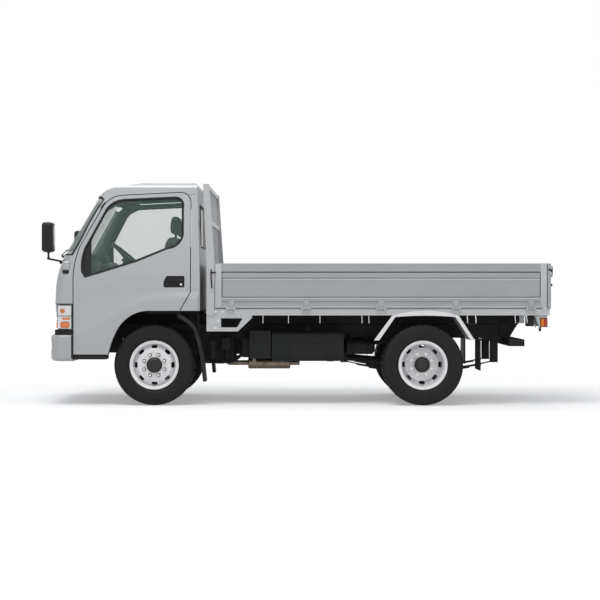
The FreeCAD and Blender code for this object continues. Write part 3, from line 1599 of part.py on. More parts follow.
def gate_panel(length, hinges):
    """A drop side lying along X from zero, its outer face at Y = 0: rails, a ribbed skin and straps."""
    height = gate_top - gate_foot
    back = gate_thick
    body = box(0, length, 0, back, gate_foot, gate_top)
    inset = gate_rail_step
    field = box(gate_end, length - gate_end, -overrun, inset, gate_foot + gate_low_rail,
                gate_top - gate_top_rail)
    body = body.cut(field)
    for z in (gate_top - gate_lip, gate_foot + gate_low_rail / 2):
        body = body.cut(box(-overrun, length + overrun, -overrun, gate_groove, z - gate_groove,
                            z + gate_groove))
    solids = [body]
    for at in hinges:
        s0, s1 = at - strap_width / 2, at + strap_width / 2
        solids.append(box(s0, s1, -strap_thick, inset, gate_foot, strap_top))
        eye = Part.makeCylinder(eye_radius, strap_width, Vector(s0, -gate_axis_out, gate_axis_z),
                                Vector(1, 0, 0))
        tongue = box(s0, s1, -gate_axis_out, 0, gate_axis_z + eye_radius - strap_thick,
                     gate_foot + strap_thick)
        solids.append(eye.fuse(tongue))
    whole = joined(solids)
    bore = Part.makeCylinder(hinge_pin_radius + fit_gap, length + 2 * overrun,
                             Vector(-overrun, -gate_axis_out, gate_axis_z), Vector(1, 0, 0))
    return whole.cut(bore)


def hinge_bracket(face):
    """A bracket on a sill for one gate hinge, centred on X = 0: base plate, two ears and the pin."""
    half = strap_width / 2 + ear_gap + ear_thick
    axis_y = -gate_axis_out
    base = box(-half, half, face - saucer_thick, face, saucer_foot, gate_axis_z - ear_gap * 3)
    solids = [base]
    for end in (-1, 1):
        xs = sorted((end * (strap_width / 2 + ear_gap), end * half))
        ear = Part.makeCylinder(eye_radius, ear_thick, Vector(xs[0], axis_y, gate_axis_z), Vector(1, 0, 0))
        web = [(axis_y, gate_axis_z - eye_radius), (axis_y, gate_axis_z),
               (face - saucer_thick, gate_axis_z - ear_gap * 3),
               (face - saucer_thick, saucer_foot + saucer_thick)]
        solids.append(ear)
        solids.append(front_prism(web, xs[0], xs[1]))
    solids.append(Part.makeCylinder(hinge_pin_radius, 2 * half, Vector(-half, axis_y, gate_axis_z),
                                    Vector(1, 0, 0)))
    return joined(solids)


def side_hinges():
    """Stations of a side gate's hinges; the third and fourth stand clear of the rear fender."""
    ahead, behind = wheelbase - hinge_ahead, wheelbase + hinge_behind
    return [hinge_first, (hinge_first + ahead) / 2, ahead, behind, hinge_last]


def tail_hinges():
    pitch = 2 * tail_hinge_half / (tail_hinge_count - 1)
    return [-tail_hinge_half + pitch * index for index in range(tail_hinge_count)]


def gates():
    """The two side gates, the tailgate, and the brackets that they hang on."""
    side = gate_panel(gate_rear - gate_front, [s - gate_front for s in side_hinges()])
    side.translate(Vector(gate_front, -body_half, 0))
    length = 2 * body_half
    tail = gate_panel(length, [at + body_half for at in tail_hinges()])
    tail.rotate(Vector(0, 0, 0), Vector(0, 0, 1), 90)
    tail.translate(Vector(tail_rear, -body_half, 0))
    brackets = []
    for s in side_hinges():
        bracket = hinge_bracket(body_half - sill_half)
        bracket.translate(Vector(s, -body_half, 0))
        brackets += [bracket, mirrored(bracket)]
    for at in tail_hinges():
        bracket = hinge_bracket(tail_rear - bed_rear)
        bracket.rotate(Vector(0, 0, 0), Vector(0, 0, 1), 90)
        bracket.translate(Vector(tail_rear, at, 0))
        brackets.append(bracket)
    return side, mirrored(side), tail, Part.makeCompound(brackets)


def rear_fenders():
    """An arched guard over each rear pair: a face band outside and a thin sheet reaching inboard."""
    crown = fender_crown
    outer = [
        (fender_front, fender_foot), (fender_shoulder_front, fender_shoulder_z),
        ((fender_mid, crown), (fender_shoulder_rear, fender_shoulder_z)), (fender_rear, fender_foot),
    ]
    band = fender_band
    inner = [
        (fender_front + band, fender_foot - overrun), (fender_shoulder_front + band * 2 / 3,
                                                       fender_shoulder_z - band / 4),
        ((fender_mid, crown - band), (fender_shoulder_rear - band * 2 / 3, fender_shoulder_z - band / 4)),
        (fender_rear - band * 3 / 4, fender_foot - overrun),
    ]
    y0 = -sill_half - fender_thick
    face = side_prism(outer, y0, -sill_half).cut(side_prism(inner, y0 - overrun, 0))
    opening = grown(inner, 0)
    sheet = through_side(opening.makeOffset2D(fender_thick, join=2), y0, -fender_inner).cut(
        through_side(opening, y0 - overrun, 0))
    sheet = sheet.common(box(fender_front, fender_rear, y0, 0, fender_foot, sill_foot - ear_gap))
    return both_sides(joined([face, sheet]))


def tail_lamps():
    """A lamp at each rear corner between two hanging plates."""
    plate = [
        (tail_plate_front, sill_foot), (lamp_box_rear + post_wall, sill_foot), (lamp_box_rear + post_wall,
                                                                                lamp_box_top),
        (tail_plate_low, tail_plate_foot),
    ]
    outside = side_prism(plate, -tail_lamp_outer - post_wall, -tail_lamp_outer)
    inside = side_prism(plate, -tail_lamp_inner, -tail_lamp_inner + post_wall)
    case = box(lamp_box_front, lamp_box_rear, -tail_lamp_outer, -tail_lamp_inner, lamp_box_foot, lamp_box_top)
    return both_sides(joined([outside, inside, case]))


# Hoist

def hoist():
    """The hoist's barrel and rod, lying along the line from the lower pin to the bed's ears."""
    start = Vector(barrel_s, 0, barrel_z)
    end = Vector(lift_s, 0, lift_z)
    line = end - start
    closed = line.Length
    line.normalize()
    bore = rod_radius + fit_gap
    case_start = eye_ring_radius + move_gap
    bottom = barrel_radius + eye_ring_radius
    barrel = Part.makeCylinder(barrel_radius, barrel_length - case_start, start + line * case_start, line)
    ring = Part.makeCylinder(eye_ring_radius, 2 * eye_half, Vector(barrel_s, -eye_half, barrel_z),
                             Vector(0, 1, 0))
    neck = Part.makeCylinder(eye_ring_radius - move_gap, bottom, start, line)
    barrel = barrel.fuse(ring).fuse(neck)
    barrel = barrel.cut(Part.makeCylinder(bore, barrel_length, start + line * bottom, line))
    barrel = barrel.cut(rod((barrel_s, -2 * eye_half, barrel_z), (barrel_s, 2 * eye_half, barrel_z),
                            lift_pin_radius + fit_gap))
    inner_end = bottom + move_gap
    bar = Part.makeCylinder(rod_radius, closed - inner_end, start + line * inner_end, line)
    head = Part.makeCylinder(eye_ring_radius, 2 * eye_half, Vector(lift_s, -eye_half, lift_z),
                             Vector(0, 1, 0))
    reach = eye_half + move_gap + lift_ear_thick
    pin = rod((lift_s, -reach, lift_z), (lift_s, reach, lift_z), lift_pin_radius)
    return barrel.removeSplitter(), joined([bar, head, pin])


def main():
    for name, shape in cab_pieces().items():
        write(name, shape)
    write("cab_floor", cab_floor())
    write("dashboard", dashboard())
    write("steering_wheel", steering_wheel())
    write("seats", Part.makeCompound(seats()))
    write("front_bumper", bumper())
    write("side_steps", steps())

    write("frame_rails", both_sides(rail()))
    write("frame_crossmembers", Part.makeCompound(crossmembers() + [hoist_brackets()]))
    write("tip_brackets", tip_brackets())
    write("engine_block", engine())
    write("front_axle", front_axle())
    write("rear_axle", rear_axle())
    write("leaf_springs", springs())
    write("fuel_tank", fuel_tank())
    write("battery_box", battery_box())
    write("exhaust", exhaust())
    write("mudguards", mudguards())
    write("underrun_bar", underrun())

    left = knuckle()
    write("knuckle_left", left)
    write("knuckle_right", mirrored(left))
    write("tie_rod", tie_rod())
    for place, (tyres, rims) in (("front", front_wheel()), ("rear", rear_wheels())):
        write("tyre_" + place + "_left", tyres)
        write("tyre_" + place + "_right", mirrored(tyres))
        write("rim_" + place + "_left", rims)
        write("rim_" + place + "_right", mirrored(rims))

    write("bed_frame", bed_frame())
    write("bed_deck", deck())
    write("headboard", headboard())
    write("corner_guards", corner_guards())
    write("rear_fenders", rear_fenders())
    write("tail_lamps", tail_lamps())
    left_gate, right_gate, tail_gate, brackets = gates()
    write("gate_left", left_gate)
    write("gate_right", right_gate)
    write("tailgate", tail_gate)
    write("gate_hinges", brackets)
    barrel, bar = hoist()
    write("hoist_barrel", barrel)
    write("hoist_rod", bar)


if __name__ == "__main__":
    main()
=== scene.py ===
"""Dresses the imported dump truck: finishes, tyres, seats, lamps, fittings, floor, light and camera."""
import json
import logging
import math
from dataclasses import dataclass
from enum import Enum
from typing import Any, Optional, Sequence, Union

import bmesh
import bpy
from mathutils import Matrix, Vector
from mathutils.bvhtree import BVHTree


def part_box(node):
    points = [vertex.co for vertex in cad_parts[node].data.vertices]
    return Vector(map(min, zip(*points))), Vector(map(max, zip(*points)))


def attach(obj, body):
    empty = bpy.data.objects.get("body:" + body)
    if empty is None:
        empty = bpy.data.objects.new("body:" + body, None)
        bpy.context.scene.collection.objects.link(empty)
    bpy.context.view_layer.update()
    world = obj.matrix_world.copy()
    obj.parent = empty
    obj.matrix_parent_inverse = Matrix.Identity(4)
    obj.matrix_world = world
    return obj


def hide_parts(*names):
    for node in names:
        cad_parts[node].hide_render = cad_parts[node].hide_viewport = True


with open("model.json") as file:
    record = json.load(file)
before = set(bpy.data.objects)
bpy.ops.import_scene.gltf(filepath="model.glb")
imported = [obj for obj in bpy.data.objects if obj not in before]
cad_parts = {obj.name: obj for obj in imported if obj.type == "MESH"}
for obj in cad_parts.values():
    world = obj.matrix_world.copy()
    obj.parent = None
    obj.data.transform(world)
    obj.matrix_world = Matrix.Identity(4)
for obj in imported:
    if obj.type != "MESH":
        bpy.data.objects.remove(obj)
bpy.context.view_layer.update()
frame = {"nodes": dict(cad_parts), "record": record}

LOG = logging.getLogger("truck")
Point = Sequence[float]
Colour = tuple[float, float, float]
Mesh = bmesh.types.BMesh
SIDES = ((-1, "left"), (1, "right"))
BLACK = (0.0, 0.0, 0.0)
WHITE = (1.0, 1.0, 1.0)
MERGE_GAP = 1e-6
CAD_MERGE_GAP = 2e-5
BODY_OF = {node: body for body, nodes in frame["record"]["behaviour"]["bodies"].items() for node in nodes}
SLOT_OF = {row["node"]: row["material_slot"] for row in frame["record"]["subparts"]}


class Grain(Enum):
    """How the surface of a plain finish is broken up."""

    SMOOTH = 0.0
    FINE = 900.0
    COARSE = 260.0


class Value:
    """A number socket in a material, on which Python's arithmetic adds Math nodes."""

    def __init__(self, shader: "Nodes", socket: bpy.types.NodeSocket) -> None:
        """Keeps the material and the socket."""
        self.shader = shader
        self.socket = socket

    def __add__(self, other: Union["Value", float]) -> "Value":
        """This value plus another."""
        return self.shader.maths("ADD", self, other)

    def __sub__(self, other: Union["Value", float]) -> "Value":
        """This value minus another."""
        return self.shader.maths("SUBTRACT", self, other)

    def __rsub__(self, other: float) -> "Value":
        """A number minus this value."""
        return self.shader.maths("SUBTRACT", other, self)

    def __mul__(self, other: Union["Value", float]) -> "Value":
        """This value times another."""
        return self.shader.maths("MULTIPLY", self, other)

    __radd__ = __add__
    __rmul__ = __mul__


class Nodes:
    """A node tree, filled through one method."""

    def __init__(self, owner: Union[bpy.types.Material, bpy.types.World]) -> None:
        """Empties the owner's tree."""
        owner.use_nodes = True
        self.tree = owner.node_tree
        self.tree.nodes.clear()

    def node(self, kind: str, settings: Optional[dict[str, Any]] = None,
             inputs: Optional[dict[Any, Any]] = None) -> bpy.types.Node:
        """Adds a node, applies its settings, then fills or links its sockets.

        Args:
            kind: the node's type.
            settings: attributes of the node.
            inputs: socket names or numbers, with values, sockets or Values.

        Returns:
            The new node.
        """
        made = self.tree.nodes.new(kind)
        for key, setting in (settings or {}).items():
            setattr(made, key, setting)
        for key, given in (inputs or {}).items():
            source = given.socket if isinstance(given, Value) else given
            if isinstance(source, bpy.types.NodeSocket):
                self.tree.links.new(source, made.inputs[key])
            else:
                made.inputs[key].default_value = source
        return made

    def maths(self, operation: str, first: Union[Value, float], second: Union[Value, float]) -> Value:
        """Adds a Math node and returns its result."""
        made = self.node("ShaderNodeMath", {"operation": operation}, {0: first, 1: second})
        return Value(self, made.outputs[0])

    def seen_straight(self) -> Value:
        """Tells the camera's own view from the light that the scene gives.

        Returns:
            1 for a ray from the camera, a mirror or through glass, and 0 for the rest.
        """
        path = self.node("ShaderNodeLightPath")
        total = Value(self, path.outputs["Is Camera Ray"]) + Value(self, path.outputs["Is Glossy Ray"])
        return self.maths("MINIMUM", total + Value(self, path.outputs["Is Transmission Ray"]), 1.0)


class Shader(Nodes):
    """One material's node tree with its Principled shader."""

    def __init__(self, name: str) -> None:
        """Starts an empty material.

        Args:
            name: the material's name.
        """
        self.material = bpy.data.materials.new(name)
        super().__init__(self.material)
        self.surface = self.node("ShaderNodeBsdfPrincipled")
        self.node("ShaderNodeOutputMaterial", inputs={"Surface": self.surface.outputs["BSDF"]})

    def place(self) -> bpy.types.NodeSocket:
        """The point on the piece, in metres."""
        return self.node("ShaderNodeTexCoord").outputs["Object"]

    def stretched(self, scale: Point) -> bpy.types.NodeSocket:
        """The point on the piece, stretched along each axis."""
        return self.node("ShaderNodeMapping", {}, {"Vector": self.place(), "Scale": tuple(scale)}).outputs[0]

    def noise(self, scale: float, detail: float, stretch: Point = (1, 1, 1)) -> Value:
        """Noise from 0 to 1 over the piece."""
        given = {"Vector": self.stretched(stretch), "Scale": scale, "Detail": detail}
        return Value(self, self.node("ShaderNodeTexNoise", {}, given).outputs[0])

    def wave(self, direction: str, scale: float) -> Value:
        """Parallel waves from 0 to 1 over the piece."""
        given = {"Vector": self.place(), "Scale": scale}
        return Value(self, self.node("ShaderNodeTexWave", {"bands_direction": direction}, given).outputs[1])

    def height(self) -> Value:
        """The height above the road in metres."""
        parts = self.node("ShaderNodeSeparateXYZ", {}, {0: self.place()})
        return Value(self, parts.outputs["Z"])

    def between(self, value: Value, low: float, high: float) -> Value:
        """The value stretched so that low is 0 and high is 1, and held there."""
        made = self.node("ShaderNodeMapRange", {}, {"Value": value, "From Min": low, "From Max": high})
        return Value(self, made.outputs[0])

    def blend(self, share: Value, first: Any, second: Any) -> bpy.types.NodeSocket:
        """Mixes two colours.

        Args:
            share: how much of the second colour there is.
            first: a colour or a colour socket.
            second: another.

        Returns:
            The socket of the mixed colour.
        """
        made = self.node("ShaderNodeMix", {"data_type": "RGBA"})
        self.tree.links.new(share.socket, made.inputs[0])
        for index, colour in ((6, first), (7, second)):
            if isinstance(colour, bpy.types.NodeSocket):
                self.tree.links.new(colour, made.inputs[index])
            else:
                made.inputs[index].default_value = (*colour, 1.0)
        return made.outputs[2]

    def bump(self, height: Value, depth: float) -> None:
        """Gives the surface a relief of a depth in metres."""
        made = self.node("ShaderNodeBump", {}, {"Height": height, "Distance": depth, "Strength": 1.0})
        self.tree.links.new(made.outputs[0], self.surface.inputs["Normal"])

    def put(self, socket: str, given: Any) -> None:
        """Sets or links a socket of the surface shader.

        Args:
            socket: its name.
            given: a number, a colour, a socket or a Value.
        """
        if isinstance(given, Value):
            given = given.socket
        if isinstance(given, bpy.types.NodeSocket):
            self.tree.links.new(given, self.surface.inputs[socket])
        elif isinstance(given, tuple) and len(given) == 3:
            self.surface.inputs[socket].default_value = (*given, 1.0)
        else:
            self.surface.inputs[socket].default_value = given


@dataclass(frozen=True)
class Cloud:
    """Patches: noise whose values from low to high are spread over 0 to 1."""

    scale: float
    detail: float
    low: float
    high: float
    stretch: Point = (1, 1, 1)

    def over(self, shader: Shader) -> Value:
        """The patches on a material."""
        return shader.between(shader.noise(self.scale, self.detail, self.stretch), self.low, self.high)


@dataclass(frozen=True)
class SilverPaint:
    """Metallic paint under a clear coat, dusty towards the road."""

    name: str
    colour: Colour
    flake: float = 0.55
    roughness: float = 0.40
    coat: float = 0.2
    coat_roughness: float = 0.08
    sparkle_scale: float = 1400.0
    sparkle_depth: float = 0.10
    dust: Colour = (0.30, 0.28, 0.25)
    dust_share: float = 0.22
    dust_roughness: float = 0.8
    dusty_height: float = 0.35
    clean_height: float = 1.1
    patches: Cloud = Cloud(5.0, 6.0, 0.35, 0.75)

    def make(self) -> bpy.types.Material:
        """Builds the material.

        Returns:
            The material.
        """
        shader = Shader(self.name)
        low = 1.0 - shader.between(shader.height(), self.dusty_height, self.clean_height)
        grime = low * self.patches.over(shader) * self.dust_share
        shader.put("Base Color", shader.blend(grime, self.colour, self.dust))
        sparkle = shader.noise(self.sparkle_scale, 1.0) * self.sparkle_depth - self.sparkle_depth / 2
        shader.put("Roughness", sparkle + self.roughness + grime * self.dust_roughness)
        shader.put("Metallic", self.flake)
        shader.put("Coat Weight", self.coat)
        shader.put("Coat Roughness", self.coat_roughness)
        return shader.material


@dataclass(frozen=True)
class WornPaint:
    """Enamel or alloy on working parts: faint scuffs along the piece, streaks and settled dust."""

    name: str
    colour: Colour
    metal: float = 0.35
    roughness: float = 0.46
    scuff: float = 0.10
    scuffed_share: float = 0.72
    dust: Colour = (0.34, 0.32, 0.29)
    dust_share: float = 0.18
    dust_roughness: float = 0.6
    shine: float = 0.5
    grain_scale: float = 140.0
    grain_depth: float = 0.00012
    scratches: Cloud = Cloud(60.0, 5.0, 0.45, 0.85, (0.12, 1.0, 1.0))
    patches: Cloud = Cloud(3.2, 7.0, 0.40, 0.80)

    def make(self) -> bpy.types.Material:
        """Builds the material.

        Returns:
            The material.
        """
        shader = Shader(self.name)
        scratches = self.scratches.over(shader)
        dusty = self.patches.over(shader) * self.dust_share
        darker = tuple(self.scuffed_share * part for part in self.colour)
        streaked = shader.blend(scratches * self.scuff * 2.0, self.colour, darker)
        shader.put("Base Color", shader.blend(dusty, streaked, self.dust))
        shader.put("Roughness", scratches * self.scuff + (self.roughness + dusty * self.dust_roughness))
        shader.put("Metallic", self.metal)
        shader.put("Specular IOR Level", self.shine)
        shader.bump(shader.noise(self.grain_scale, 3.0), self.grain_depth)
        return shader.material


@dataclass(frozen=True)
class Moulded:
    """Plastic, rubber or cast metal in one colour with a grain."""

    name: str
    colour: Colour
    roughness: float = 0.55
    grain: Grain = Grain.FINE
    grain_depth_share: float = 0.12
    metal: float = 0.0
    dust_share: float = 0.0
    dust: Colour = (0.20, 0.18, 0.155)
    dust_roughness: float = 0.4
    shine: float = 0.5
    patches: Cloud = Cloud(7.0, 6.0, 0.42, 0.78)

    def make(self) -> bpy.types.Material:
        """Builds the material.

        Returns:
            The material.
        """
        shader = Shader(self.name)
        dusty = self.patches.over(shader) * self.dust_share
        shader.put("Base Color", shader.blend(dusty, self.colour, self.dust))
        shader.put("Roughness", dusty * self.dust_roughness + self.roughness)
        shader.put("Metallic", self.metal)
        shader.put("Specular IOR Level", self.shine)
        if self.grain is not Grain.SMOOTH:
            shader.bump(shader.noise(self.grain.value, 2.0), self.grain_depth_share / self.grain.value)
        return shader.material


@dataclass(frozen=True)
class Bright:
    """Bare or plated metal."""

    name: str
    colour: Colour = (0.72, 0.73, 0.74)
    roughness: float = 0.22
    stain: Colour = (0.40, 0.36, 0.32)
    stain_share: float = 0.1
    stain_roughness: float = 0.5
    patches: Cloud = Cloud(18.0, 6.0, 0.45, 0.8)

    def make(self) -> bpy.types.Material:
        """Builds the material.

        Returns:
            The material.
        """
        shader = Shader(self.name)
        stains = self.patches.over(shader) * self.stain_share
        shader.put("Base Color", shader.blend(stains, self.colour, self.stain))
        shader.put("Roughness", stains * self.stain_roughness + self.roughness)
        shader.put("Metallic", 1.0)
        return shader.material


@dataclass(frozen=True)
class Glazing:
    """Clear or tinted glass and lamp lenses, each face of which hides a share of what is behind it."""

    name: str
    colour: Colour
    hides: float
    roughness: float = 0.03
    lit: float = 0.0
    edge: float = 0.0
    shine: float = 0.5

    def make(self) -> bpy.types.Material:
        """Builds the material.

        Returns:
            The material.
        """
        shader = Shader(self.name)
        shader.put("Base Color", self.colour)
        shader.put("Roughness", self.roughness)
        if self.edge:
            facing = Value(shader, shader.node("ShaderNodeLayerWeight", {}, {"Blend": 0.5}).outputs["Facing"])
            shader.put("Alpha", facing * facing * facing * self.edge + self.hides)
        else:
            shader.put("Alpha", self.hides)
        shader.put("Specular IOR Level", self.shine)
        shader.put("Emission Color", self.colour)
        shader.put("Emission Strength", self.lit)
        return shader.material


@dataclass(frozen=True)
class Upholstery:
    """Woven seat cloth."""

    name: str
    colour: Colour
    thread: Colour
    thread_share: float = 0.7
    across_scale: float = 260.0
    slant_scale: float = 190.0
    depth: float = 0.0006

    def make(self) -> bpy.types.Material:
        """Builds the material.

        Returns:
            The material.
        """
        shader = Shader(self.name)
        weave = shader.wave("Y", self.across_scale) * shader.wave("DIAGONAL", self.slant_scale)
        shader.put("Base Color", shader.blend(weave * self.thread_share, self.colour, self.thread))
        shader.put("Roughness", 0.92)
        shader.put("Sheen Weight", 0.25)
        shader.bump(weave, self.depth)
        return shader.material


class Finishes:
    """Every finish on the truck, made once."""

    def __init__(self) -> None:
        """Makes the materials."""
        smooth, coarse = Grain.SMOOTH, Grain.COARSE
        made = [
            SilverPaint("cab_silver", (0.43, 0.44, 0.455), flake=0.25, coat=0.12),
            WornPaint("bed_silver", (0.37, 0.385, 0.40), metal=0.2),
            WornPaint("trim_silver", (0.49, 0.50, 0.51), metal=0.3, roughness=0.38),
            WornPaint("wheel_silver", (0.76, 0.76, 0.77), metal=0.3, roughness=0.36, dust_share=0.12),
            WornPaint("chassis_black", (0.008, 0.009, 0.0095), metal=0.0, roughness=0.55, dust_share=0.12,
                      dust=(0.05, 0.047, 0.042), shine=0.22),
            Moulded("black_plastic", (0.008, 0.008, 0.009), 0.45, dust_share=0.05, shine=0.28),
            Moulded("mirror_shell", (0.007, 0.007, 0.0075), 0.42, smooth, shine=0.3),
            Moulded("cabin_plastic", (0.055, 0.058, 0.060), 0.62, coarse),
            Moulded("cabin_lining", (0.095, 0.10, 0.10), 0.85, coarse),
            Moulded("pillar_cloth", (0.27, 0.315, 0.305), 0.85, coarse, shine=0.2),
            Moulded("tyre_rubber", (0.0075, 0.0075, 0.008), 0.72, dust_share=0.08, dust=(0.06, 0.056, 0.05),
                    shine=0.3),
            Moulded("seal_rubber", (0.006, 0.006, 0.006), 0.55, smooth, shine=0.35),
            # Painted shade: the dark colour of the strips along the gates' grooves and of the rings round the
            # wheel nuts.
            Moulded("painted_shade", (0.075, 0.077, 0.078), 0.7, smooth, shine=0.2),
            Moulded("flap_rubber", (0.008, 0.008, 0.009), 0.7, dust_share=0.12, shine=0.35),
            Moulded("cast_black", (0.014, 0.0135, 0.013), 0.65, coarse, metal=0.2, dust_share=0.2, shine=0.3),
            Moulded("hub_grey", (0.012, 0.012, 0.013), 0.42, smooth, metal=0.2),
            Bright("bright_steel"),
            Bright("lamp_bowl", (0.70, 0.71, 0.72), 0.26, stain_share=0.0),
            Bright("mirror_silver", (0.24, 0.25, 0.26), 0.04, stain_share=0.0),
            Bright("silencer_steel", (0.22, 0.18, 0.15), 0.42, (0.10, 0.07, 0.05), 0.6),
            Glazing("clear_glass", (0.20, 0.30, 0.265), 0.14),
            Glazing("screen_glass", (0.30, 0.36, 0.34), 0.13, edge=0.40, shine=0.15),
            Glazing("lamp_lens", (0.60, 0.61, 0.62), 0.09),
            Glazing("amber_lens", (0.85, 0.21, 0.004), 0.90, 0.12, 0.04),
            Glazing("red_lens", (0.50, 0.035, 0.010), 0.92, 0.12, 0.03),
            Upholstery("seat_cloth", (0.055, 0.058, 0.064), (0.13, 0.135, 0.145)),
        ]
        self.by_name = {finish.name: finish.make() for finish in made}

    def __getitem__(self, name: str) -> bpy.types.Material:
        """The material of that name."""
        return self.by_name[name]


class Bench:
    """Makes pieces: turns a bmesh into an object that rides on a body with its finish."""

    def __init__(self, finishes: Finishes) -> None:
        """Keeps the finishes."""
        self.finishes = finishes

    def piece(self, name: str, shape: Mesh, finish: str, body: str = "chassis", slot: str = "",
              smooth: float = 40.0, bevel: float = 0.0) -> bpy.types.Object:
        """Makes a finished piece from a bmesh.

        Args:
            name: the piece's name.
            shape: its mesh, which is freed.
            finish: the name of its material.
            body: the body that it rides on.
            slot: the record's material slot, if it has one; not used.
            smooth: edges sharper than this angle in degrees stay sharp.
            bevel: the width of a bevel on sharp edges in metres.

        Returns:
            The object.
        """
        mesh = bpy.data.meshes.new(name)
        shape.to_mesh(mesh)
        shape.free()
        mesh.materials.append(self.finishes[finish])
        for polygon in mesh.polygons:
            polygon.use_smooth = True
        mesh.set_sharp_from_angle(angle=math.radians(smooth))
        made = bpy.data.objects.new(name, mesh)
        bpy.context.scene.collection.objects.link(made)
        if bevel:
            edge = made.modifiers.new("edges", "BEVEL")
            edge.width = bevel
            edge.segments = 2
            edge.limit_method = "ANGLE"
            edge.harden_normals = True
        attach(made, body)
        LOG.info("%s: %d faces on %s", name, len(mesh.polygons), body)
        return made


def block(low: Point, high: Point, edge: float = 0.0, segments: int = 2) -> Mesh:
    """A box between two corners.

    Args:
        low: one corner.
        high: the corner across from it.
        edge: the radius of its edges, or 0.
        segments: faces round each edge.

    Returns:
        The box.
    """
    shape = bmesh.new()
    bmesh.ops.create_cube(shape, size=1.0)
    low, high = Vector(low), Vector(high)
    bmesh.ops.scale(shape, vec=high - low, verts=shape.verts)
    bmesh.ops.translate(shape, vec=(low + high) / 2, verts=shape.verts)
    if edge:
        bmesh.ops.bevel(shape, geom=shape.edges[:], offset=edge, segments=segments, affect="EDGES",
                        profile=0.5, material=-1)
    return shape


def bar(start: Point, end: Point, radius: float, sides: int = 20, tip: float = 1.0) -> Mesh:
    """A round bar between two points.

    Args:
        start: the first end.
        end: the other end.
        radius: its radius at the first end.
        sides: faces round the bar.
        tip: the other end's radius as a share of the first's.

    Returns:
        The bar.
    """
    shape = bmesh.new()
    start, end = Vector(start), Vector(end)
    along = end - start
    bmesh.ops.create_cone(shape, cap_ends=True, segments=sides, radius1=radius, radius2=radius * tip,
                          depth=along.length)
    turn = along.to_track_quat("Z", "Y").to_matrix().to_4x4()
    bmesh.ops.transform(shape, matrix=Matrix.Translation((start + end) / 2) @ turn, verts=shape.verts)
    return shape


def tube(points: Sequence[Point], radius: float, sides: int = 10, closed: bool = False) -> Mesh:
    """A tube through points.

    Args:
        points: the middle line.
        radius: the tube's radius.
        sides: faces round the tube.
        closed: whether the last point joins the first.

    Returns:
        The tube's mesh.
    """
    curve = bpy.data.curves.new("path", "CURVE")
    curve.dimensions = "3D"
    curve.bevel_depth = radius
    curve.bevel_resolution = max(1, sides // 4 - 1)
    curve.use_fill_caps = not closed
    line = curve.splines.new("POLY")
    line.points.add(len(points) - 1)
    for made, point in zip(line.points, points):
        made.co = (*point, 1.0)
    line.use_cyclic_u = closed
    holder = bpy.data.objects.new("path", curve)
    bpy.context.scene.collection.objects.link(holder)
    bpy.context.view_layer.update()
    mesh = holder.to_mesh()
    shape = bmesh.new()
    shape.from_mesh(mesh)
    holder.to_mesh_clear()
    bpy.data.objects.remove(holder)
    bpy.data.curves.remove(curve)
    bmesh.ops.remove_doubles(shape, verts=shape.verts, dist=MERGE_GAP)
    return outside(shape)


def rounded(points: Sequence[Point], radius: float, steps: int = 4) -> list[Vector]:
    """The points with each inner corner replaced by a small arc.

    Args:
        points: an open line.
        radius: how far from its corner each arc starts.
        steps: parts of each arc.

    Returns:
        The line's new points.
    """
    path = [Vector(point) for point in points]
    made = [path[0]]
    for last, corner, following in zip(path, path[1:], path[2:]):
        before, after = last - corner, following - corner
        reach = min(radius, before.length / 2, after.length / 2)
        first, final = corner + before.normalized() * reach, corner + after.normalized() * reach
        for step in range(steps + 1):
            share = step / steps
            made.append(first.lerp(corner, share).lerp(corner.lerp(final, share), share))
    return made + [path[-1]]


def joined(*shapes: Mesh) -> Mesh:
    """Puts several meshes in one.

    Args:
        shapes: the meshes, which are freed.

    Returns:
        The one mesh.
    """
    whole = bmesh.new()
    for shape in shapes:
        holder = bpy.data.meshes.new("part")
        shape.to_mesh(holder)
        shape.free()
        whole.from_mesh(holder)
        bpy.data.meshes.remove(holder)
    return whole


def outside(shape: Mesh) -> Mesh:
    """The same shape with its faces turned outwards."""
    bmesh.ops.recalc_face_normals(shape, faces=shape.faces)
    return shape


def lathe(profile: Sequence[tuple[float, float]], centre: Point, outward: float, steps: int = 48) -> Mesh:
    """A profile of (radius, distance out) spun about an axle line.

    Args:
        profile: the outline, from the axis side outwards or round a closed section.
        centre: the point on the axle from which distances out are counted.
        outward: -1 or 1, the direction along Y that counts as out.
        steps: faces round the axle.

    Returns:
        The spun mesh.
    """
    shape = bmesh.new()
    places = [(centre[0], centre[1] + outward * out, centre[2] + radius) for radius, out in profile]
    line = [shape.verts.new(place) for place in places]
    edges = [shape.edges.new(pair) for pair in zip(line, line[1:])]
    bmesh.ops.spin(shape, geom=line + edges, cent=centre, axis=(0, 1, 0), angle=2 * math.pi, steps=steps,
                   use_merge=True)
    bmesh.ops.remove_doubles(shape, verts=shape.verts, dist=MERGE_GAP)
    return outside(shape)


def middle(node: str) -> Vector:
    """The centre of a CAD node's box."""
    low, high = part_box(node)
    return (low + high) / 2


def spot(station: float, y: float, z: float) -> Vector:
    """A point given by its distance behind the front axle, its side and its height."""
    return Vector((middle("tyre_front_left").x + station, y, z))


def placed(point: Point, sign: int) -> Vector:
    """A point given by station, distance out and height, on one side of the truck."""
    return spot(point[0], point[1] * sign, point[2])


def solid_copy(node: str) -> Mesh:
    """A merged copy of a CAD node's mesh.

    Args:
        node: the CAD node.

    Returns:
        The copy.
    """
    shape = bmesh.new()
    shape.from_mesh(frame["nodes"][node].data)
    bmesh.ops.remove_doubles(shape, verts=shape.verts, dist=CAD_MERGE_GAP)
    bmesh.ops.dissolve_degenerate(shape, edges=shape.edges, dist=MERGE_GAP)
    return shape


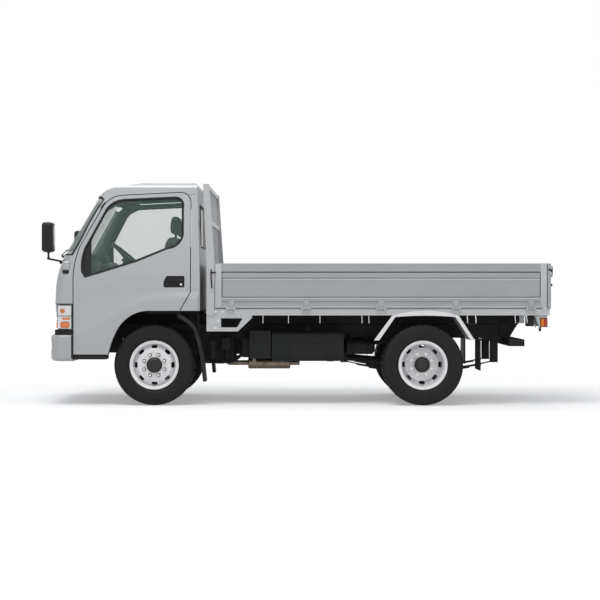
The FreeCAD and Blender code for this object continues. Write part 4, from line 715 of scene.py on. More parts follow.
def rim_loops(node: str, heart: Point, sharp: float = 0.5) -> list[list[Vector]]:
    """The edges at which a CAD node's outer faces end, each as a closed loop of points.

    Args:
        node: the CAD node.
        heart: a point behind the outer faces, from which they face away.
        sharp: how squarely a face must look away from the heart to count as outer.

    Returns:
        The loops, the longest first.
    """
    shape = solid_copy(node)
    shape.normal_update()
    outer = {face for face in shape.faces
             if (face.calc_center_median() - Vector(heart)).normalized().dot(face.normal) > sharp}
    border = dict.fromkeys(edge for edge in shape.edges if len(outer.intersection(edge.link_faces)) == 1)
    loops = []
    while border:
        edge, _ = border.popitem()
        line = list(edge.verts)
        following = [more for more in line[-1].link_edges if more in border]
        while following:
            del border[following[0]]
            line.append(following[0].other_vert(line[-1]))
            following = [more for more in line[-1].link_edges if more in border]
        if line[0] == line[-1] and len(line) > 4:
            loops.append([vert.co.copy() for vert in line[:-1]])
    shape.free()
    return sorted(loops, key=lambda loop: -sum((p - q).length for p, q in zip(loop, loop[1:])))


@dataclass(frozen=True)
class Box:
    """A block, placed by its centre's station, distance out and height."""

    at: Point
    size: Point
    edge: float = 0.0
    segments: int = 2

    def make(self, sign: int = 1) -> Mesh:
        """The block on one side of the truck."""
        centre, half = placed(self.at, sign), Vector(self.size) / 2
        return block(centre - half, centre + half, self.edge, self.segments)


@dataclass(frozen=True)
class Ball:
    """A sphere, placed by its centre's station, distance out and height."""

    at: Point
    radius: float

    def make(self, sign: int = 1) -> Mesh:
        """The sphere on one side of the truck.

        Args:
            sign: -1 for the left side, 1 for the right.

        Returns:
            The sphere.
        """
        shape = bmesh.new()
        bmesh.ops.create_uvsphere(shape, u_segments=24, v_segments=14, radius=self.radius)
        bmesh.ops.translate(shape, vec=placed(self.at, sign), verts=shape.verts)
        return shape


@dataclass(frozen=True)
class Rod:
    """A round bar between two points, each given by station, distance out and height."""

    start: Point
    end: Point
    radius: float
    sides: int = 20
    tip: float = 1.0

    def make(self, sign: int = 1) -> Mesh:
        """The bar on one side of the truck."""
        return bar(placed(self.start, sign), placed(self.end, sign), self.radius, self.sides, self.tip)


@dataclass(frozen=True)
class Pipe:
    """A bent tube through points, each given by station, distance out and height."""

    points: Sequence[Point]
    radius: float
    sides: int
    bend: float
    steps: int = 4

    def make(self, sign: int = 1) -> Mesh:
        """The tube on one side of the truck."""
        line = [placed(point, sign) for point in self.points]
        return tube(rounded(line, self.bend, self.steps), self.radius, self.sides)


@dataclass(frozen=True)
class Ring:
    """A round ring that faces along X, placed by its centre's station, distance out and height."""

    at: Point
    reach: float
    radius: float
    steps: int = 40

    def make(self, sign: int = 1) -> Mesh:
        """The ring on one side of the truck.

        Args:
            sign: -1 for the left side, 1 for the right.

        Returns:
            The ring.
        """
        turns = [2 * math.pi * index / self.steps for index in range(self.steps)]
        arms = [Vector((0, math.cos(turn), math.sin(turn))) * self.reach for turn in turns]
        return tube([placed(self.at, sign) + arm for arm in arms], self.radius, 10, closed=True)


Part = Union[Box, Ball, Rod, Pipe, Ring]


@dataclass
class Assembly:
    """A group of pieces that the bench makes."""

    bench: Bench

    def one(self, name: str, finish: str, *parts: Part, sign: int = 1, body: str = "chassis",
            smooth: float = 40.0) -> None:
        """Makes a piece from parts on one side of the truck."""
        self.bench.piece(name, joined(*(part.make(sign) for part in parts)), finish, body, smooth=smooth)

    def both(self, name: str, finish: str, *parts: Part, body: str = "chassis", smooth: float = 40.0) -> None:
        """Makes one piece from parts on both sides of the truck."""
        shapes = [part.make(sign) for sign, _ in SIDES for part in parts]
        self.bench.piece(name, joined(*shapes), finish, body, smooth=smooth)


class Surface:
    """The outside of CAD nodes, to lay pieces on."""

    FAR = 4.0

    def __init__(self, *nodes: str) -> None:
        """Keeps a search tree of each node.

        Args:
            nodes: the CAD nodes.
        """
        self.trees = []
        for node in nodes:
            shape = solid_copy(node)
            self.trees.append(BVHTree.FromBMesh(shape))
            shape.free()

    def hit(self, start: Point, along: Point) -> Vector:
        """The first point that a ray meets.

        Args:
            start: where the ray starts.
            along: its direction.

        Returns:
            The point.
        """
        start, along = Vector(start), Vector(along)
        found = [tree.ray_cast(start, along) for tree in self.trees]
        reached = [place for place, _, _, _ in found if place is not None]
        if not reached:
            raise ValueError(f"no surface from {start} along {along}")
        return min(reached, key=lambda place: (place - start).length)

    def front(self, y: float, z: float) -> Vector:
        """The point met from straight ahead."""
        return self.hit((-self.FAR, y, z), (1, 0, 0))

    def side(self, station: float, z: float, sign: int) -> Vector:
        """The point met from one side, at a distance behind the front axle."""
        return self.hit(spot(station, self.FAR * sign, z), (0, -sign, 0))

    def band(self, half: float, foot: float, height: float, cells: tuple[int, int], lift: float,
             depth: float) -> Mesh:
        """A sheet laid across the surface from straight ahead.

        Args:
            half: half its width.
            foot: the height of its lower edge.
            height: its height.
            cells: the number of cells each way.
            lift: how far the sheet stands off the surface.
            depth: how thick it is.

        Returns:
            The sheet's mesh.
        """
        shape = bmesh.new()
        bmesh.ops.create_grid(shape, x_segments=cells[0], y_segments=cells[1], size=0.5)
        for vert in shape.verts:
            met = self.front(2 * half * vert.co.x, foot + height * (vert.co.y + 0.5))
            vert.co = met - Vector((lift, 0, 0))
        outside(shape)
        if shape.faces[:][0].normal.x > 0:
            bmesh.ops.reverse_faces(shape, faces=shape.faces)
        bmesh.ops.solidify(shape, geom=shape.faces[:], thickness=depth)
        return outside(shape)


@dataclass
class CadDressing:
    """Gives every CAD node that is shown its finish."""

    FINISH = {
        "cab_paint": "cab_silver", "bed_paint": "bed_silver", "chassis_paint": "chassis_black",
        "black_plastic": "black_plastic", "interior_plastic": "cabin_plastic", "lamp_plastic": "lamp_lens",
        "tyre_rubber": "tyre_rubber", "wheel_paint": "wheel_silver", "cast_metal": "cast_black",
        "steel": "bright_steel", "silencer_steel": "silencer_steel", "clear_glass": "clear_glass",
        "seat_cloth": "seat_cloth", "flap_rubber": "flap_rubber",
    }
    SPECIAL = {
        "headboard": "trim_silver", "corner_guards": "trim_silver", "rear_fenders": "wheel_silver",
        "gate_hinges": "trim_silver", "battery_box": "chassis_black", "tail_lamps": "trim_silver",
        "windscreen": "screen_glass",
    }

    finishes: Finishes

    def dress(self) -> None:
        """Puts materials on the nodes."""
        for node, slot in SLOT_OF.items():
            made = frame["nodes"][node]
            made.data.materials.clear()
            made.data.materials.append(self.finishes[self.SPECIAL.get(node, self.FINISH[slot])])
            for polygon in made.data.polygons:
                polygon.material_index = 0
        LOG.info("finishes on %d nodes", len(SLOT_OF))


@dataclass
class Skins(Assembly):
    """Smooth copies of the painted CAD panels, with fine edges."""

    PANELS = {
        "cab_shell": "cab_silver", "cab_front_panel": "cab_silver", "door_left": "cab_silver",
        "door_right": "cab_silver", "front_bumper": "cab_silver", "gate_left": "bed_silver",
        "gate_right": "bed_silver", "tailgate": "bed_silver", "headboard": "trim_silver",
        "bed_frame": "chassis_black", "mirrors": "mirror_shell",
    }
    LINED = ("cab_shell", "cab_front_panel", "door_left", "door_right")

    soft_angle: float = 14.0
    flat_angle: float = 0.2
    edge: float = 0.0016
    mirror_edge: float = 0.012
    openings: tuple[Point, ...] = ((-0.36, 0.36, 0.478, 0.528), (-0.777, -0.665, 0.519, 0.591),
                                   (0.665, 0.777, 0.519, 0.591))
    opening_depth: float = 0.014
    facing_ahead: float = -0.3
    facing_in: float = 0.25
    pocket_low: Point = (0.090, 0.815, 1.094)
    pocket_high: Point = (0.290, 0.8462, 1.207)
    sill_out: float = 0.80
    sill_foot: float = 0.835

    def build(self) -> None:
        """Makes a skin for each panel."""
        for node, finish in self.PANELS.items():
            shape = solid_copy(node)
            bmesh.ops.dissolve_limit(shape, angle_limit=math.radians(self.flat_angle), verts=shape.verts,
                                     edges=shape.edges)
            if node == "front_bumper":
                self.open_bumper(shape)
            edge = self.mirror_edge if node == "mirrors" else self.edge
            made = self.bench.piece(f"{node}_skin", shape, finish, BODY_OF[node], SLOT_OF[node],
                                    self.soft_angle, edge)
            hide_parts(node)
            if node in self.LINED:
                self.line(made)
            if node.startswith("door"):
                self.blacken_pocket(made)
            if node == "bed_frame":
                self.brighten_sill(made)
            if node == "front_bumper":
                made.data.materials.append(self.bench.finishes["seal_rubber"])

    def open_bumper(self, shape: Mesh) -> None:
        """Sinks the intake and the two slots into the bumper's face.

        Args:
            shape: the bumper's mesh, whose second material is put on the openings.
        """
        for low_y, high_y, low_z, high_z in self.openings:
            cuts = [((0, y, 0), (0, 1, 0)) for y in (low_y, high_y)]
            cuts += [((0, 0, z), (0, 0, 1)) for z in (low_z, high_z)]
            for place, across in cuts:
                parts = shape.verts[:] + shape.edges[:] + shape.faces[:]
                bmesh.ops.bisect_plane(shape, geom=parts, plane_co=place, plane_no=across)
            chosen = []
            for face in shape.faces:
                _, y, z = face.calc_center_median()
                if low_y < y < high_y and low_z < z < high_z and face.normal.x < self.facing_ahead:
                    chosen.append(face)
            sunk = bmesh.ops.extrude_face_region(shape, geom=chosen)["geom"]
            bmesh.ops.delete(shape, geom=[face for face in chosen if face.is_valid], context="FACES_ONLY")
            corners = [part for part in sunk if isinstance(part, bmesh.types.BMVert)]
            bmesh.ops.translate(shape, vec=(self.opening_depth, 0, 0), verts=corners)
            for corner in corners:
                for face in corner.link_faces:
                    face.material_index = 1
        outside(shape)

    def line(self, made: bpy.types.Object) -> None:
        """Gives the faces that look into the cabin the lining's finish.

        Args:
            made: the panel's skin.
        """
        made.data.materials.append(self.bench.finishes["cabin_lining"])
        heart = (middle("seats") + middle("dashboard")) / 2
        for polygon in made.data.polygons:
            if (heart - polygon.center).normalized().dot(polygon.normal) > self.facing_in:
                polygon.material_index = 1

    def blacken_pocket(self, made: bpy.types.Object) -> None:
        """Makes the door handle and the dish round it black.

        Args:
            made: the door's skin.
        """
        made.data.materials.append(self.bench.finishes["black_plastic"])
        low, high = spot(*self.pocket_low), spot(*self.pocket_high)
        for polygon in made.data.polygons:
            x, y, z = polygon.center
            if low.x < x < high.x and low.z < z < high.z and low.y < abs(y) < high.y:
                polygon.material_index = 2

    def brighten_sill(self, made: bpy.types.Object) -> None:
        """Gives the bed frame's outer rail the trim's finish.

        Args:
            made: the bed frame's skin.
        """
        made.data.materials.append(self.bench.finishes["trim_silver"])
        for polygon in made.data.polygons:
            if abs(polygon.center.y) > self.sill_out and polygon.center.z > self.sill_foot:
                polygon.material_index = 1


@dataclass
class Seals(Assembly):
    """Black rubber round every pane, and the black piece in each side window's front corner."""

    door_radius: float = 0.0125
    pane_radius: float = 0.010
    door_heart: float = 1.2
    screen_heart: Point = (0.7, 0, -0.1)
    rear_heart: Point = (-1.5, 0, 0)
    quarter_end: float = -0.579
    quarter_lift: float = 0.0015

    def ring(self, name: str, node: str, heart: Point, radius: float) -> None:
        """A rubber strip along the edge of a pane's outer face.

        Args:
            name: the piece's name.
            node: the pane.
            heart: the way from the pane's middle to a point behind it.
            radius: the strip's radius.
        """
        line = rim_loops(node, middle(node) + Vector(heart))[0]
        self.bench.piece(name, tube(line, radius, 12, closed=True), "seal_rubber", BODY_OF[node], smooth=60.0)

    def quarter(self, sign: int, side: str) -> None:
        """The part of the side window ahead of its upright divider.

        Args:
            sign: -1 for the left side, 1 for the right.
            side: the side's name.
        """
        shape = solid_copy(f"door_glass_{side}")
        parts = shape.verts[:] + shape.edges[:] + shape.faces[:]
        bmesh.ops.bisect_plane(shape, geom=parts, plane_co=spot(self.quarter_end, 0, 0), plane_no=(1, 0, 0),
                               clear_outer=True)
        bmesh.ops.holes_fill(shape, edges=shape.edges[:])
        bmesh.ops.translate(shape, vec=(0, self.quarter_lift * sign, 0), verts=shape.verts)
        self.bench.piece(f"quarter_panel_{side}", shape, "seal_rubber", f"door_{side}")

    def build(self) -> None:
        """Seals all panes."""
        for sign, side in SIDES:
            heart = (0, -self.door_heart * sign, 0)
            self.ring(f"window_seal_{side}", f"door_glass_{side}", heart, self.door_radius)
            self.quarter(sign, side)
        self.ring("windscreen_seal", "windscreen", self.screen_heart, self.pane_radius)
        self.ring("rear_window_seal", "rear_window", self.rear_heart, self.pane_radius)


@dataclass
class Headlamps(Assembly):
    """What shows through the headlamps' lenses, and the lenses' frames."""

    bowl: Box = Box((-0.825, 0.69575, 0.8245), (0.136, 0.2515, 0.227), 0.012, 3)
    rim: Ring = Ring((-0.897, 0.672, 0.862), 0.066, 0.006)
    eye: Rod = Rod((-0.889, 0.672, 0.862), (-0.896, 0.672, 0.862), 0.060, 40)
    side_divider: Box = Box((-0.828, 0.829, 0.833), (0.14, 0.014, 0.006))
    front_divider: Box = Box((-0.899, 0.69, 0.789), (0.014, 0.23, 0.006))
    indicator: Ball = Ball((-0.847, 0.824, 0.880), 0.023)
    indicator_bar: Box = Box((-0.812, 0.828, 0.808), (0.074, 0.014, 0.021), 0.005)
    side_amber: Box = Box((-0.822, 0.827, 0.751), (0.084, 0.018, 0.058), 0.020, 5)
    front_amber: Box = Box((-0.900, 0.740, 0.750), (0.016, 0.110, 0.060), 0.007, 3)
    bulb: Ball = Ball((-0.905, 0.672, 0.862), 0.016)
    frame_radius: float = 0.0035
    frame_heart: Point = (-0.30, 0, 0.80)

    def build(self) -> None:
        """Fills both headlamps and frames their lenses."""
        for sign, side in SIDES:
            self.one(f"lamp_bowl_{side}", "lamp_bowl", self.bowl, self.rim, sign=sign)
            self.one(f"lamp_dividers_{side}", "mirror_shell", self.eye, self.side_divider, self.front_divider,
                     sign=sign)
            self.one(f"lamp_amber_{side}", "amber_lens", self.indicator, self.indicator_bar, self.side_amber,
                     self.front_amber, sign=sign, smooth=60.0)
            self.one(f"lamp_bulb_{side}", "lamp_lens", self.bulb, sign=sign)
        loops = rim_loops("headlamps", spot(*self.frame_heart))[:2]
        frames = joined(*(tube(line, self.frame_radius, 8, closed=True) for line in loops))
        self.bench.piece("lamp_frames", frames, "seal_rubber", smooth=60.0)


@dataclass
class Front(Assembly):
    """The face of the cab: wipers, cowl, radiator, mouldings, and the strips that close its gaps."""

    pillar: tuple[Point, ...] = ((-0.702, 1.462), (-0.640, 1.575), (-0.572, 1.700), (-0.505, 1.822))
    pillar_radius: float = 0.0042
    pillar_top: tuple[Point, ...] = ((-0.499, 1.834), (-0.478, 1.864), (-0.455, 1.892))
    pillar_top_radius: float = 0.0060
    seam: tuple[Point, ...] = ((0.318, 1.966), (0.355, 1.966), (0.392, 1.966))
    seam_radius: float = 0.0016
    wipers: tuple[tuple[float, float], ...] = ((-0.66, -0.06), (0.02, 0.62))
    blade_foot: float = 1.444
    blade_rise: float = 0.024
    blade_lift: float = 0.012
    blade_radius: float = 0.0065
    blade_steps: int = 12
    pivot_height: float = 1.388
    pivot_length: float = 0.028
    pivot_radius: float = 0.013
    arm_rise: Point = (-0.030, 0, 0.012)
    arm_drop: Point = (-0.024, 0, 0.004)
    arm_bend: float = 0.04
    arm_radius: float = 0.005
    cowl_half: float = 0.735
    cowl_foot: float = 1.368
    cowl_height: float = 0.026
    cowl_cells: tuple[int, int] = (48, 2)
    cowl_lift: float = 0.0025
    cowl_depth: float = 0.006
    core: Box = Box((-0.872, 0, 0.830), (0.020, 0.925, 0.185))
    fin: Point = (0.006, 0.004, 0.18)
    fins: int = 31
    fin_pitch: float = 0.03
    fin_station: float = -0.884
    gap_strip: Box = Box((-0.842, 0, 0.681), (0.160, 1.600, 0.050), 0.006)
    bumper_seal: Box = Box((-0.7585, 0.832, 0.545), (0.013, 0.013, 0.215), 0.002)
    underside: Box = Box((0.160, 0, 0.867), (0.50, 1.24, 0.036), 0.004)

    def __post_init__(self) -> None:
        """Takes the surfaces to lay pieces on."""
        self.screen = Surface("windscreen")
        self.face = Surface("cab_front_panel", "windscreen", "cab_shell")
        self.shell = Surface("cab_shell", "cab_front_panel")

    def wiper(self, inner: float, outer: float) -> Mesh:
        """An arm from a pivot on the cowl to a blade that lies on the glass.

        Args:
            inner: where the pivot and the blade's inner end are, across the truck.
            outer: where the blade ends.

        Returns:
            The wiper's mesh.
        """
        blade = []
        for index in range(self.blade_steps + 1):
            share = index / self.blade_steps
            y, z = inner + (outer - inner) * share, self.blade_foot + self.blade_rise * share
            blade.append(self.screen.front(y, z) - Vector((self.blade_lift, 0, 0)))
        grip = blade[self.blade_steps // 2]
        foot = self.face.front(inner, self.pivot_height)
        arm = rounded([foot, foot + Vector(self.arm_rise), grip + Vector(self.arm_drop), grip], self.arm_bend)
        pivot = bar(foot, foot - Vector((self.pivot_length, 0, 0)), self.pivot_radius, 20, 0.8)
        return joined(tube(blade, self.blade_radius, 8), tube(arm, self.arm_radius, 8), pivot)

    def radiator(self) -> None:
        """The dark core behind the grille."""
        first = -self.fin_pitch * (self.fins - 1) / 2
        across = [first + self.fin_pitch * index for index in range(self.fins)]
        fins = [Box((self.fin_station, y, self.core.at[2]), self.fin) for y in across]
        self.one("radiator", "cast_black", self.core, *fins)

    def moulding(self, name: str, finish: str, *lines: tuple[tuple[Point, ...], float]) -> None:
        """Thin mouldings laid on both sides of the cab.

        Args:
            name: the piece's name.
            finish: the name of its material.
            lines: for each moulding, its stations and heights, and its radius.
        """
        made = []
        for sign, _ in SIDES:
            for line, radius in lines:
                made.append(tube([self.shell.side(station, z, sign) for station, z in line], radius, 8))
        self.bench.piece(name, joined(*made), finish)

    def build(self) -> None:
        """Makes all of it."""
        self.bench.piece("wipers", joined(*(self.wiper(*span) for span in self.wipers)), "seal_rubber")
        cowl = self.face.band(self.cowl_half, self.cowl_foot, self.cowl_height, self.cowl_cells,
                              self.cowl_lift, self.cowl_depth)
        self.bench.piece("cowl", cowl, "black_plastic")
        self.radiator()
        self.moulding("pillar_strips", "trim_silver", (self.pillar, self.pillar_radius))
        self.moulding("pillar_ends", "seal_rubber", (self.pillar_top, self.pillar_top_radius),
                      (self.seam, self.seam_radius))
        seals = [self.bumper_seal.make(sign) for sign, _ in SIDES]
        self.bench.piece("bumper_filler", joined(self.gap_strip.make(), *seals), "black_plastic")
        self.one("cab_underside", "chassis_black", self.underside)


@dataclass
class MirrorFittings(Assembly):
    """Mirror glass, arm joints, and the painted cover that each arm starts from."""

    glass: Box = Box((-0.9010, 0.962, 1.5575), (0.003, 0.134, 0.222), 0.0012)
    upper_joint: Ball = Ball((-0.952, 0.962, 1.364), 0.014)
    lower_joint: Ball = Ball((-0.861, 0.815, 1.329), 0.015)
    stub: Rod = Rod((-0.861, 0.815, 1.329), (-0.825, 0.820, 1.320), 0.008, 12)
    clamp: Box = Box((-0.952, 0.962, 1.425), (0.034, 0.040, 0.022), 0.006)
    cover: Box = Box((-0.813, 0.822, 1.300), (0.076, 0.062, 0.090), 0.020, 4)
    foot: Box = Box((-0.813, 0.822, 1.244), (0.066, 0.054, 0.052), 0.020, 4)

    def build(self) -> None:
        """Makes both sides."""
        self.both("mirror_glass", "mirror_silver", self.glass)
        self.both("mirror_joints", "mirror_shell", self.upper_joint, self.lower_joint, self.stub, self.clamp)
        self.both("mirror_covers", "cab_silver", self.cover, smooth=60.0)
        self.both("mirror_cover_feet", "black_plastic", self.foot, smooth=60.0)


@dataclass
class DoorFittings(Assembly):
    """Locks, inner panels, arm rests and winders of the doors."""

    lock: Rod = Rod((0.255, 0.828, 1.125), (0.255, 0.8440, 1.125), 0.0105, 24)
    key_plug: Rod = Rod((0.255, 0.843, 1.125), (0.255, 0.8455, 1.125), 0.0065, 20)
    card: Box = Box((-0.16, 0.8015, 1.03), (0.86, 0.012, 0.27), 0.004)
    arm_rest: Box = Box((-0.02, 0.782, 1.125), (0.38, 0.045, 0.040), 0.012, 3)
    winder_hub: Rod = Rod((-0.40, 0.796, 1.06), (-0.40, 0.778, 1.06), 0.018, 20)
    winder_arm: Rod = Rod((-0.40, 0.783, 1.06), (-0.33, 0.776, 1.02), 0.007, 12)

    def build(self) -> None:
        """Makes both doors' fittings."""
        for sign, side in SIDES:
            body = f"door_{side}"
            self.one(f"door_lock_{side}", "bright_steel", self.lock, self.key_plug, sign=sign, body=body)
            self.one(f"door_card_{side}", "cabin_plastic", self.card, self.arm_rest, self.winder_hub,
                     self.winder_arm, sign=sign, body=body)


@dataclass
class Cabin(Assembly):
    """What shows through the cab's windows, apart from the seats."""

    binnacle: Box = Box((-0.560, -0.38, 1.372), (0.15, 0.36, 0.085), 0.030, 4)
    console: Box = Box((-0.520, 0.02, 1.18), (0.07, 0.30, 0.26), 0.015, 3)
    visor: Box = Box((-0.318, 0.37, 1.962), (0.15, 0.46, 0.018), 0.008, 3)
    cover_out: float = 0.715
    cover_lean: float = 0.050
    cover_foot: float = 1.425
    cover_rise: float = 0.445
    cover_probe: float = 0.030
    cover_behind: float = 0.056
    cover_radius: float = 0.040
    cover_bend: float = 0.05
    cover_steps: int = 4
    trim: Pipe = Pipe(((-0.700, 0.690, 1.345), (-0.620, 0.682, 1.60), (-0.505, 0.655, 1.845),
                       (-0.290, 0.640, 1.945)), 0.045, 18, 0.12)
    grip: Pipe = Pipe(((-0.610, 0.735, 1.655), (-0.575, 0.700, 1.660), (-0.500, 0.690, 1.795),
                       (-0.525, 0.725, 1.815)), 0.0095, 12, 0.03)
    lever: Pipe = Pipe(((-0.29, 0.03, 0.935), (-0.29, 0.03, 1.06), (-0.25, 0.0, 1.215)), 0.008, 12, 0.08)
    knob: Ball = Ball((-0.25, 0.0, 1.235), 0.024)
    brake: Pipe = Pipe(((-0.10, -0.06, 0.965), (-0.22, -0.06, 1.03)), 0.014, 12, 0.02)
    boot: Box = Box((-0.29, 0.03, 0.955), (0.14, 0.12, 0.045), 0.018, 3)
    pedals: Point = (-0.25, -0.38, -0.52)
    pedal_place: Point = (-0.700, 0.885)
    pedal_size: Point = (0.016, 0.062, 0.075)
    stalk_foot: Point = (-0.700, 0.90)
    stalk_top: Point = (-0.760, 1.06)
    stalk_radius: float = 0.008
    wheel_hub: Point = (-0.272, -0.38, 1.379)
    wheel_tilt: float = 40.0
    horn_below: float = 0.022
    horn_above: float = 0.006
    horn_radius: float = 0.060

    def pillar_cover(self, sign: int) -> Mesh:
        """The pale cover that lines a windscreen pillar, just behind the glass.

        Args:
            sign: -1 for the left side, 1 for the right.

        Returns:
            The cover's mesh.
        """
        screen = Surface("windscreen")
        line = []
        for step in range(self.cover_steps + 1):
            share = step / self.cover_steps
            y = (self.cover_out - self.cover_lean * share) * sign
            z = self.cover_foot + self.cover_rise * share
            line.append(Vector((screen.front(y + self.cover_probe * sign, z).x + self.cover_behind, y, z)))
        return tube(rounded(line, self.cover_bend), self.cover_radius, 18)

    def pedal(self, y: float) -> tuple[Box, Rod]:
        """A pedal's plate and stalk.

        Args:
            y: where the pedal is across the truck.

        Returns:
            Both parts.
        """
        plate = Box((self.pedal_place[0], y, self.pedal_place[1]), self.pedal_size, 0.004)
        foot, top = (self.stalk_foot[0], y, self.stalk_foot[1]), (self.stalk_top[0], y, self.stalk_top[1])
        return plate, Rod(foot, top, self.stalk_radius, 12)

    def build(self) -> None:
        """Makes the cabin's fittings."""
        self.one("instruments", "cabin_plastic", self.binnacle, self.console, smooth=50.0)
        self.both("sun_visors", "cabin_lining", self.visor)
        covers = joined(*(self.pillar_cover(sign) for sign, _ in SIDES))
        self.bench.piece("pillar_covers", covers, "pillar_cloth", smooth=50.0)
        self.both("pillar_trims", "cabin_lining", self.trim, smooth=50.0)
        self.one("grab_handle", "cabin_plastic", self.grip)
        self.one("levers", "cabin_plastic", self.lever, self.knob, self.brake, self.boot, smooth=50.0)
        self.one("pedals", "cast_black", *(part for y in self.pedals for part in self.pedal(y)))
        tilt = math.radians(self.wheel_tilt)
        hub, axis = spot(*self.wheel_hub), Vector((math.sin(tilt), 0, math.cos(tilt)))
        pad = bar(hub - axis * self.horn_below, hub + axis * self.horn_above, self.horn_radius, 40, 0.86)
        self.bench.piece("horn_pad", pad, "cabin_plastic", "steering_wheel", smooth=30.0)


@dataclass(frozen=True)
class Pad:
    """One stuffed part of a seat, given before it is filled."""

    name: str
    at: Point
    size: Point
    lean: float
    swell: float
    seams: tuple[float, ...] = ()
    edge: float = 0.030
    seam_share: float = 0.12
    seam_reach: float = 0.045

    def shape(self, sign: int) -> Mesh:
        """The block that is filled, leaning back.

        Args:
            sign: -1 for the left seat, 1 for the right.

        Returns:
            The block.
        """
        centre = placed(self.at, sign)
        made = Box(self.at, self.size, self.edge, 4).make(sign)
        turn = Matrix.Rotation(math.radians(self.lean), 4, "Y")
        place = Matrix.Translation(centre) @ turn @ Matrix.Translation(-centre)
        bmesh.ops.transform(made, matrix=place, verts=made.verts)
        return made

    def allowance(self, point: Vector, sign: int) -> float:
        """How far the cover may move at a point: little along a seam."""
        away = min((abs(point.y - self.at[1] * sign - seam) for seam in self.seams), default=1.0)
        return self.swell * min(1.0, self.seam_share + away / self.seam_reach)


@dataclass
class Seats(Assembly):
    """Two cloth seats, each with a cushion, a back and a headrest, filled by a cloth simulation."""

    voxel: float = 0.006
    pressure: float = 4.0
    frames: int = 20
    fullness: float = 0.8
    pads: tuple[Pad, ...] = (
        Pad("cushion", (-0.055, 0.38, 1.012), (0.500, 0.440, 0.105), -4, 0.024, (-0.125, 0.125)),
        Pad("back", (0.140, 0.38, 1.335), (0.120, 0.440, 0.480), 7, 0.024, (-0.125, 0.125)),
        Pad("headrest", (0.170, 0.38, 1.688), (0.082, 0.235, 0.165), 5, 0.018),
    )
    stands: tuple[Rod, ...] = (Rod((0.165, 0.32, 1.52), (0.170, 0.32, 1.66), 0.006, 12),
                               Rod((0.165, 0.44, 1.52), (0.170, 0.44, 1.66), 0.006, 12))
    base: Box = Box((-0.04, 0.38, 0.948), (0.44, 0.36, 0.026), 0.004)

    def keep(self, made: bpy.types.Object) -> None:
        """Puts what the modifiers make into the mesh and takes them off.

        Args:
            made: the piece.
        """
        view = bpy.context.evaluated_depsgraph_get()
        mesh = bpy.data.meshes.new_from_object(made.evaluated_get(view))
        made.modifiers.clear()
        made.data = mesh

    def fill(self, made: bpy.types.Object, pad: Pad, sign: int) -> None:
        """Remeshes the piece evenly and blows it up, holding its seams back.

        Args:
            made: the piece.
            pad: its sizes.
            sign: -1 for the left seat, 1 for the right.
        """
        even = made.modifiers.new("even", "REMESH")
        even.mode = "VOXEL"
        even.voxel_size = self.voxel
        self.keep(made)
        before = [vert.co.copy() for vert in made.data.vertices]
        cloth = made.modifiers.new("fill", "CLOTH")
        cloth.settings.use_pressure = True
        cloth.settings.uniform_pressure_force = self.pressure
        cloth.settings.effector_weights.gravity = 0.0
        cloth.point_cache.frame_end = self.frames
        for step in range(1, self.frames + 1):
            bpy.context.scene.frame_set(step)
        self.keep(made)
        bpy.context.scene.frame_set(1)
        for vert, start in zip(made.data.vertices, before):
            move = vert.co - start
            limit = pad.allowance(start, sign)
            if move.length > limit:
                vert.co = start + move.normalized() * limit
        for polygon in made.data.polygons:
            polygon.use_smooth = True

    def build(self) -> None:
        """Makes both seats; the first cushion stands for the CAD's seats."""
        for sign, side in SIDES:
            for pad in self.pads:
                made = self.bench.piece(f"seat_{pad.name}_{side}", pad.shape(sign), "seat_cloth", "chassis",
                                        "seat_cloth", 60.0)
                self.fill(made, pad, sign)
                if sign == SIDES[0][0] and pad is self.pads[0]:
                    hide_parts("seats")
            self.one(f"seat_frame_{side}", "cast_black", *self.stands, self.base, sign=sign)


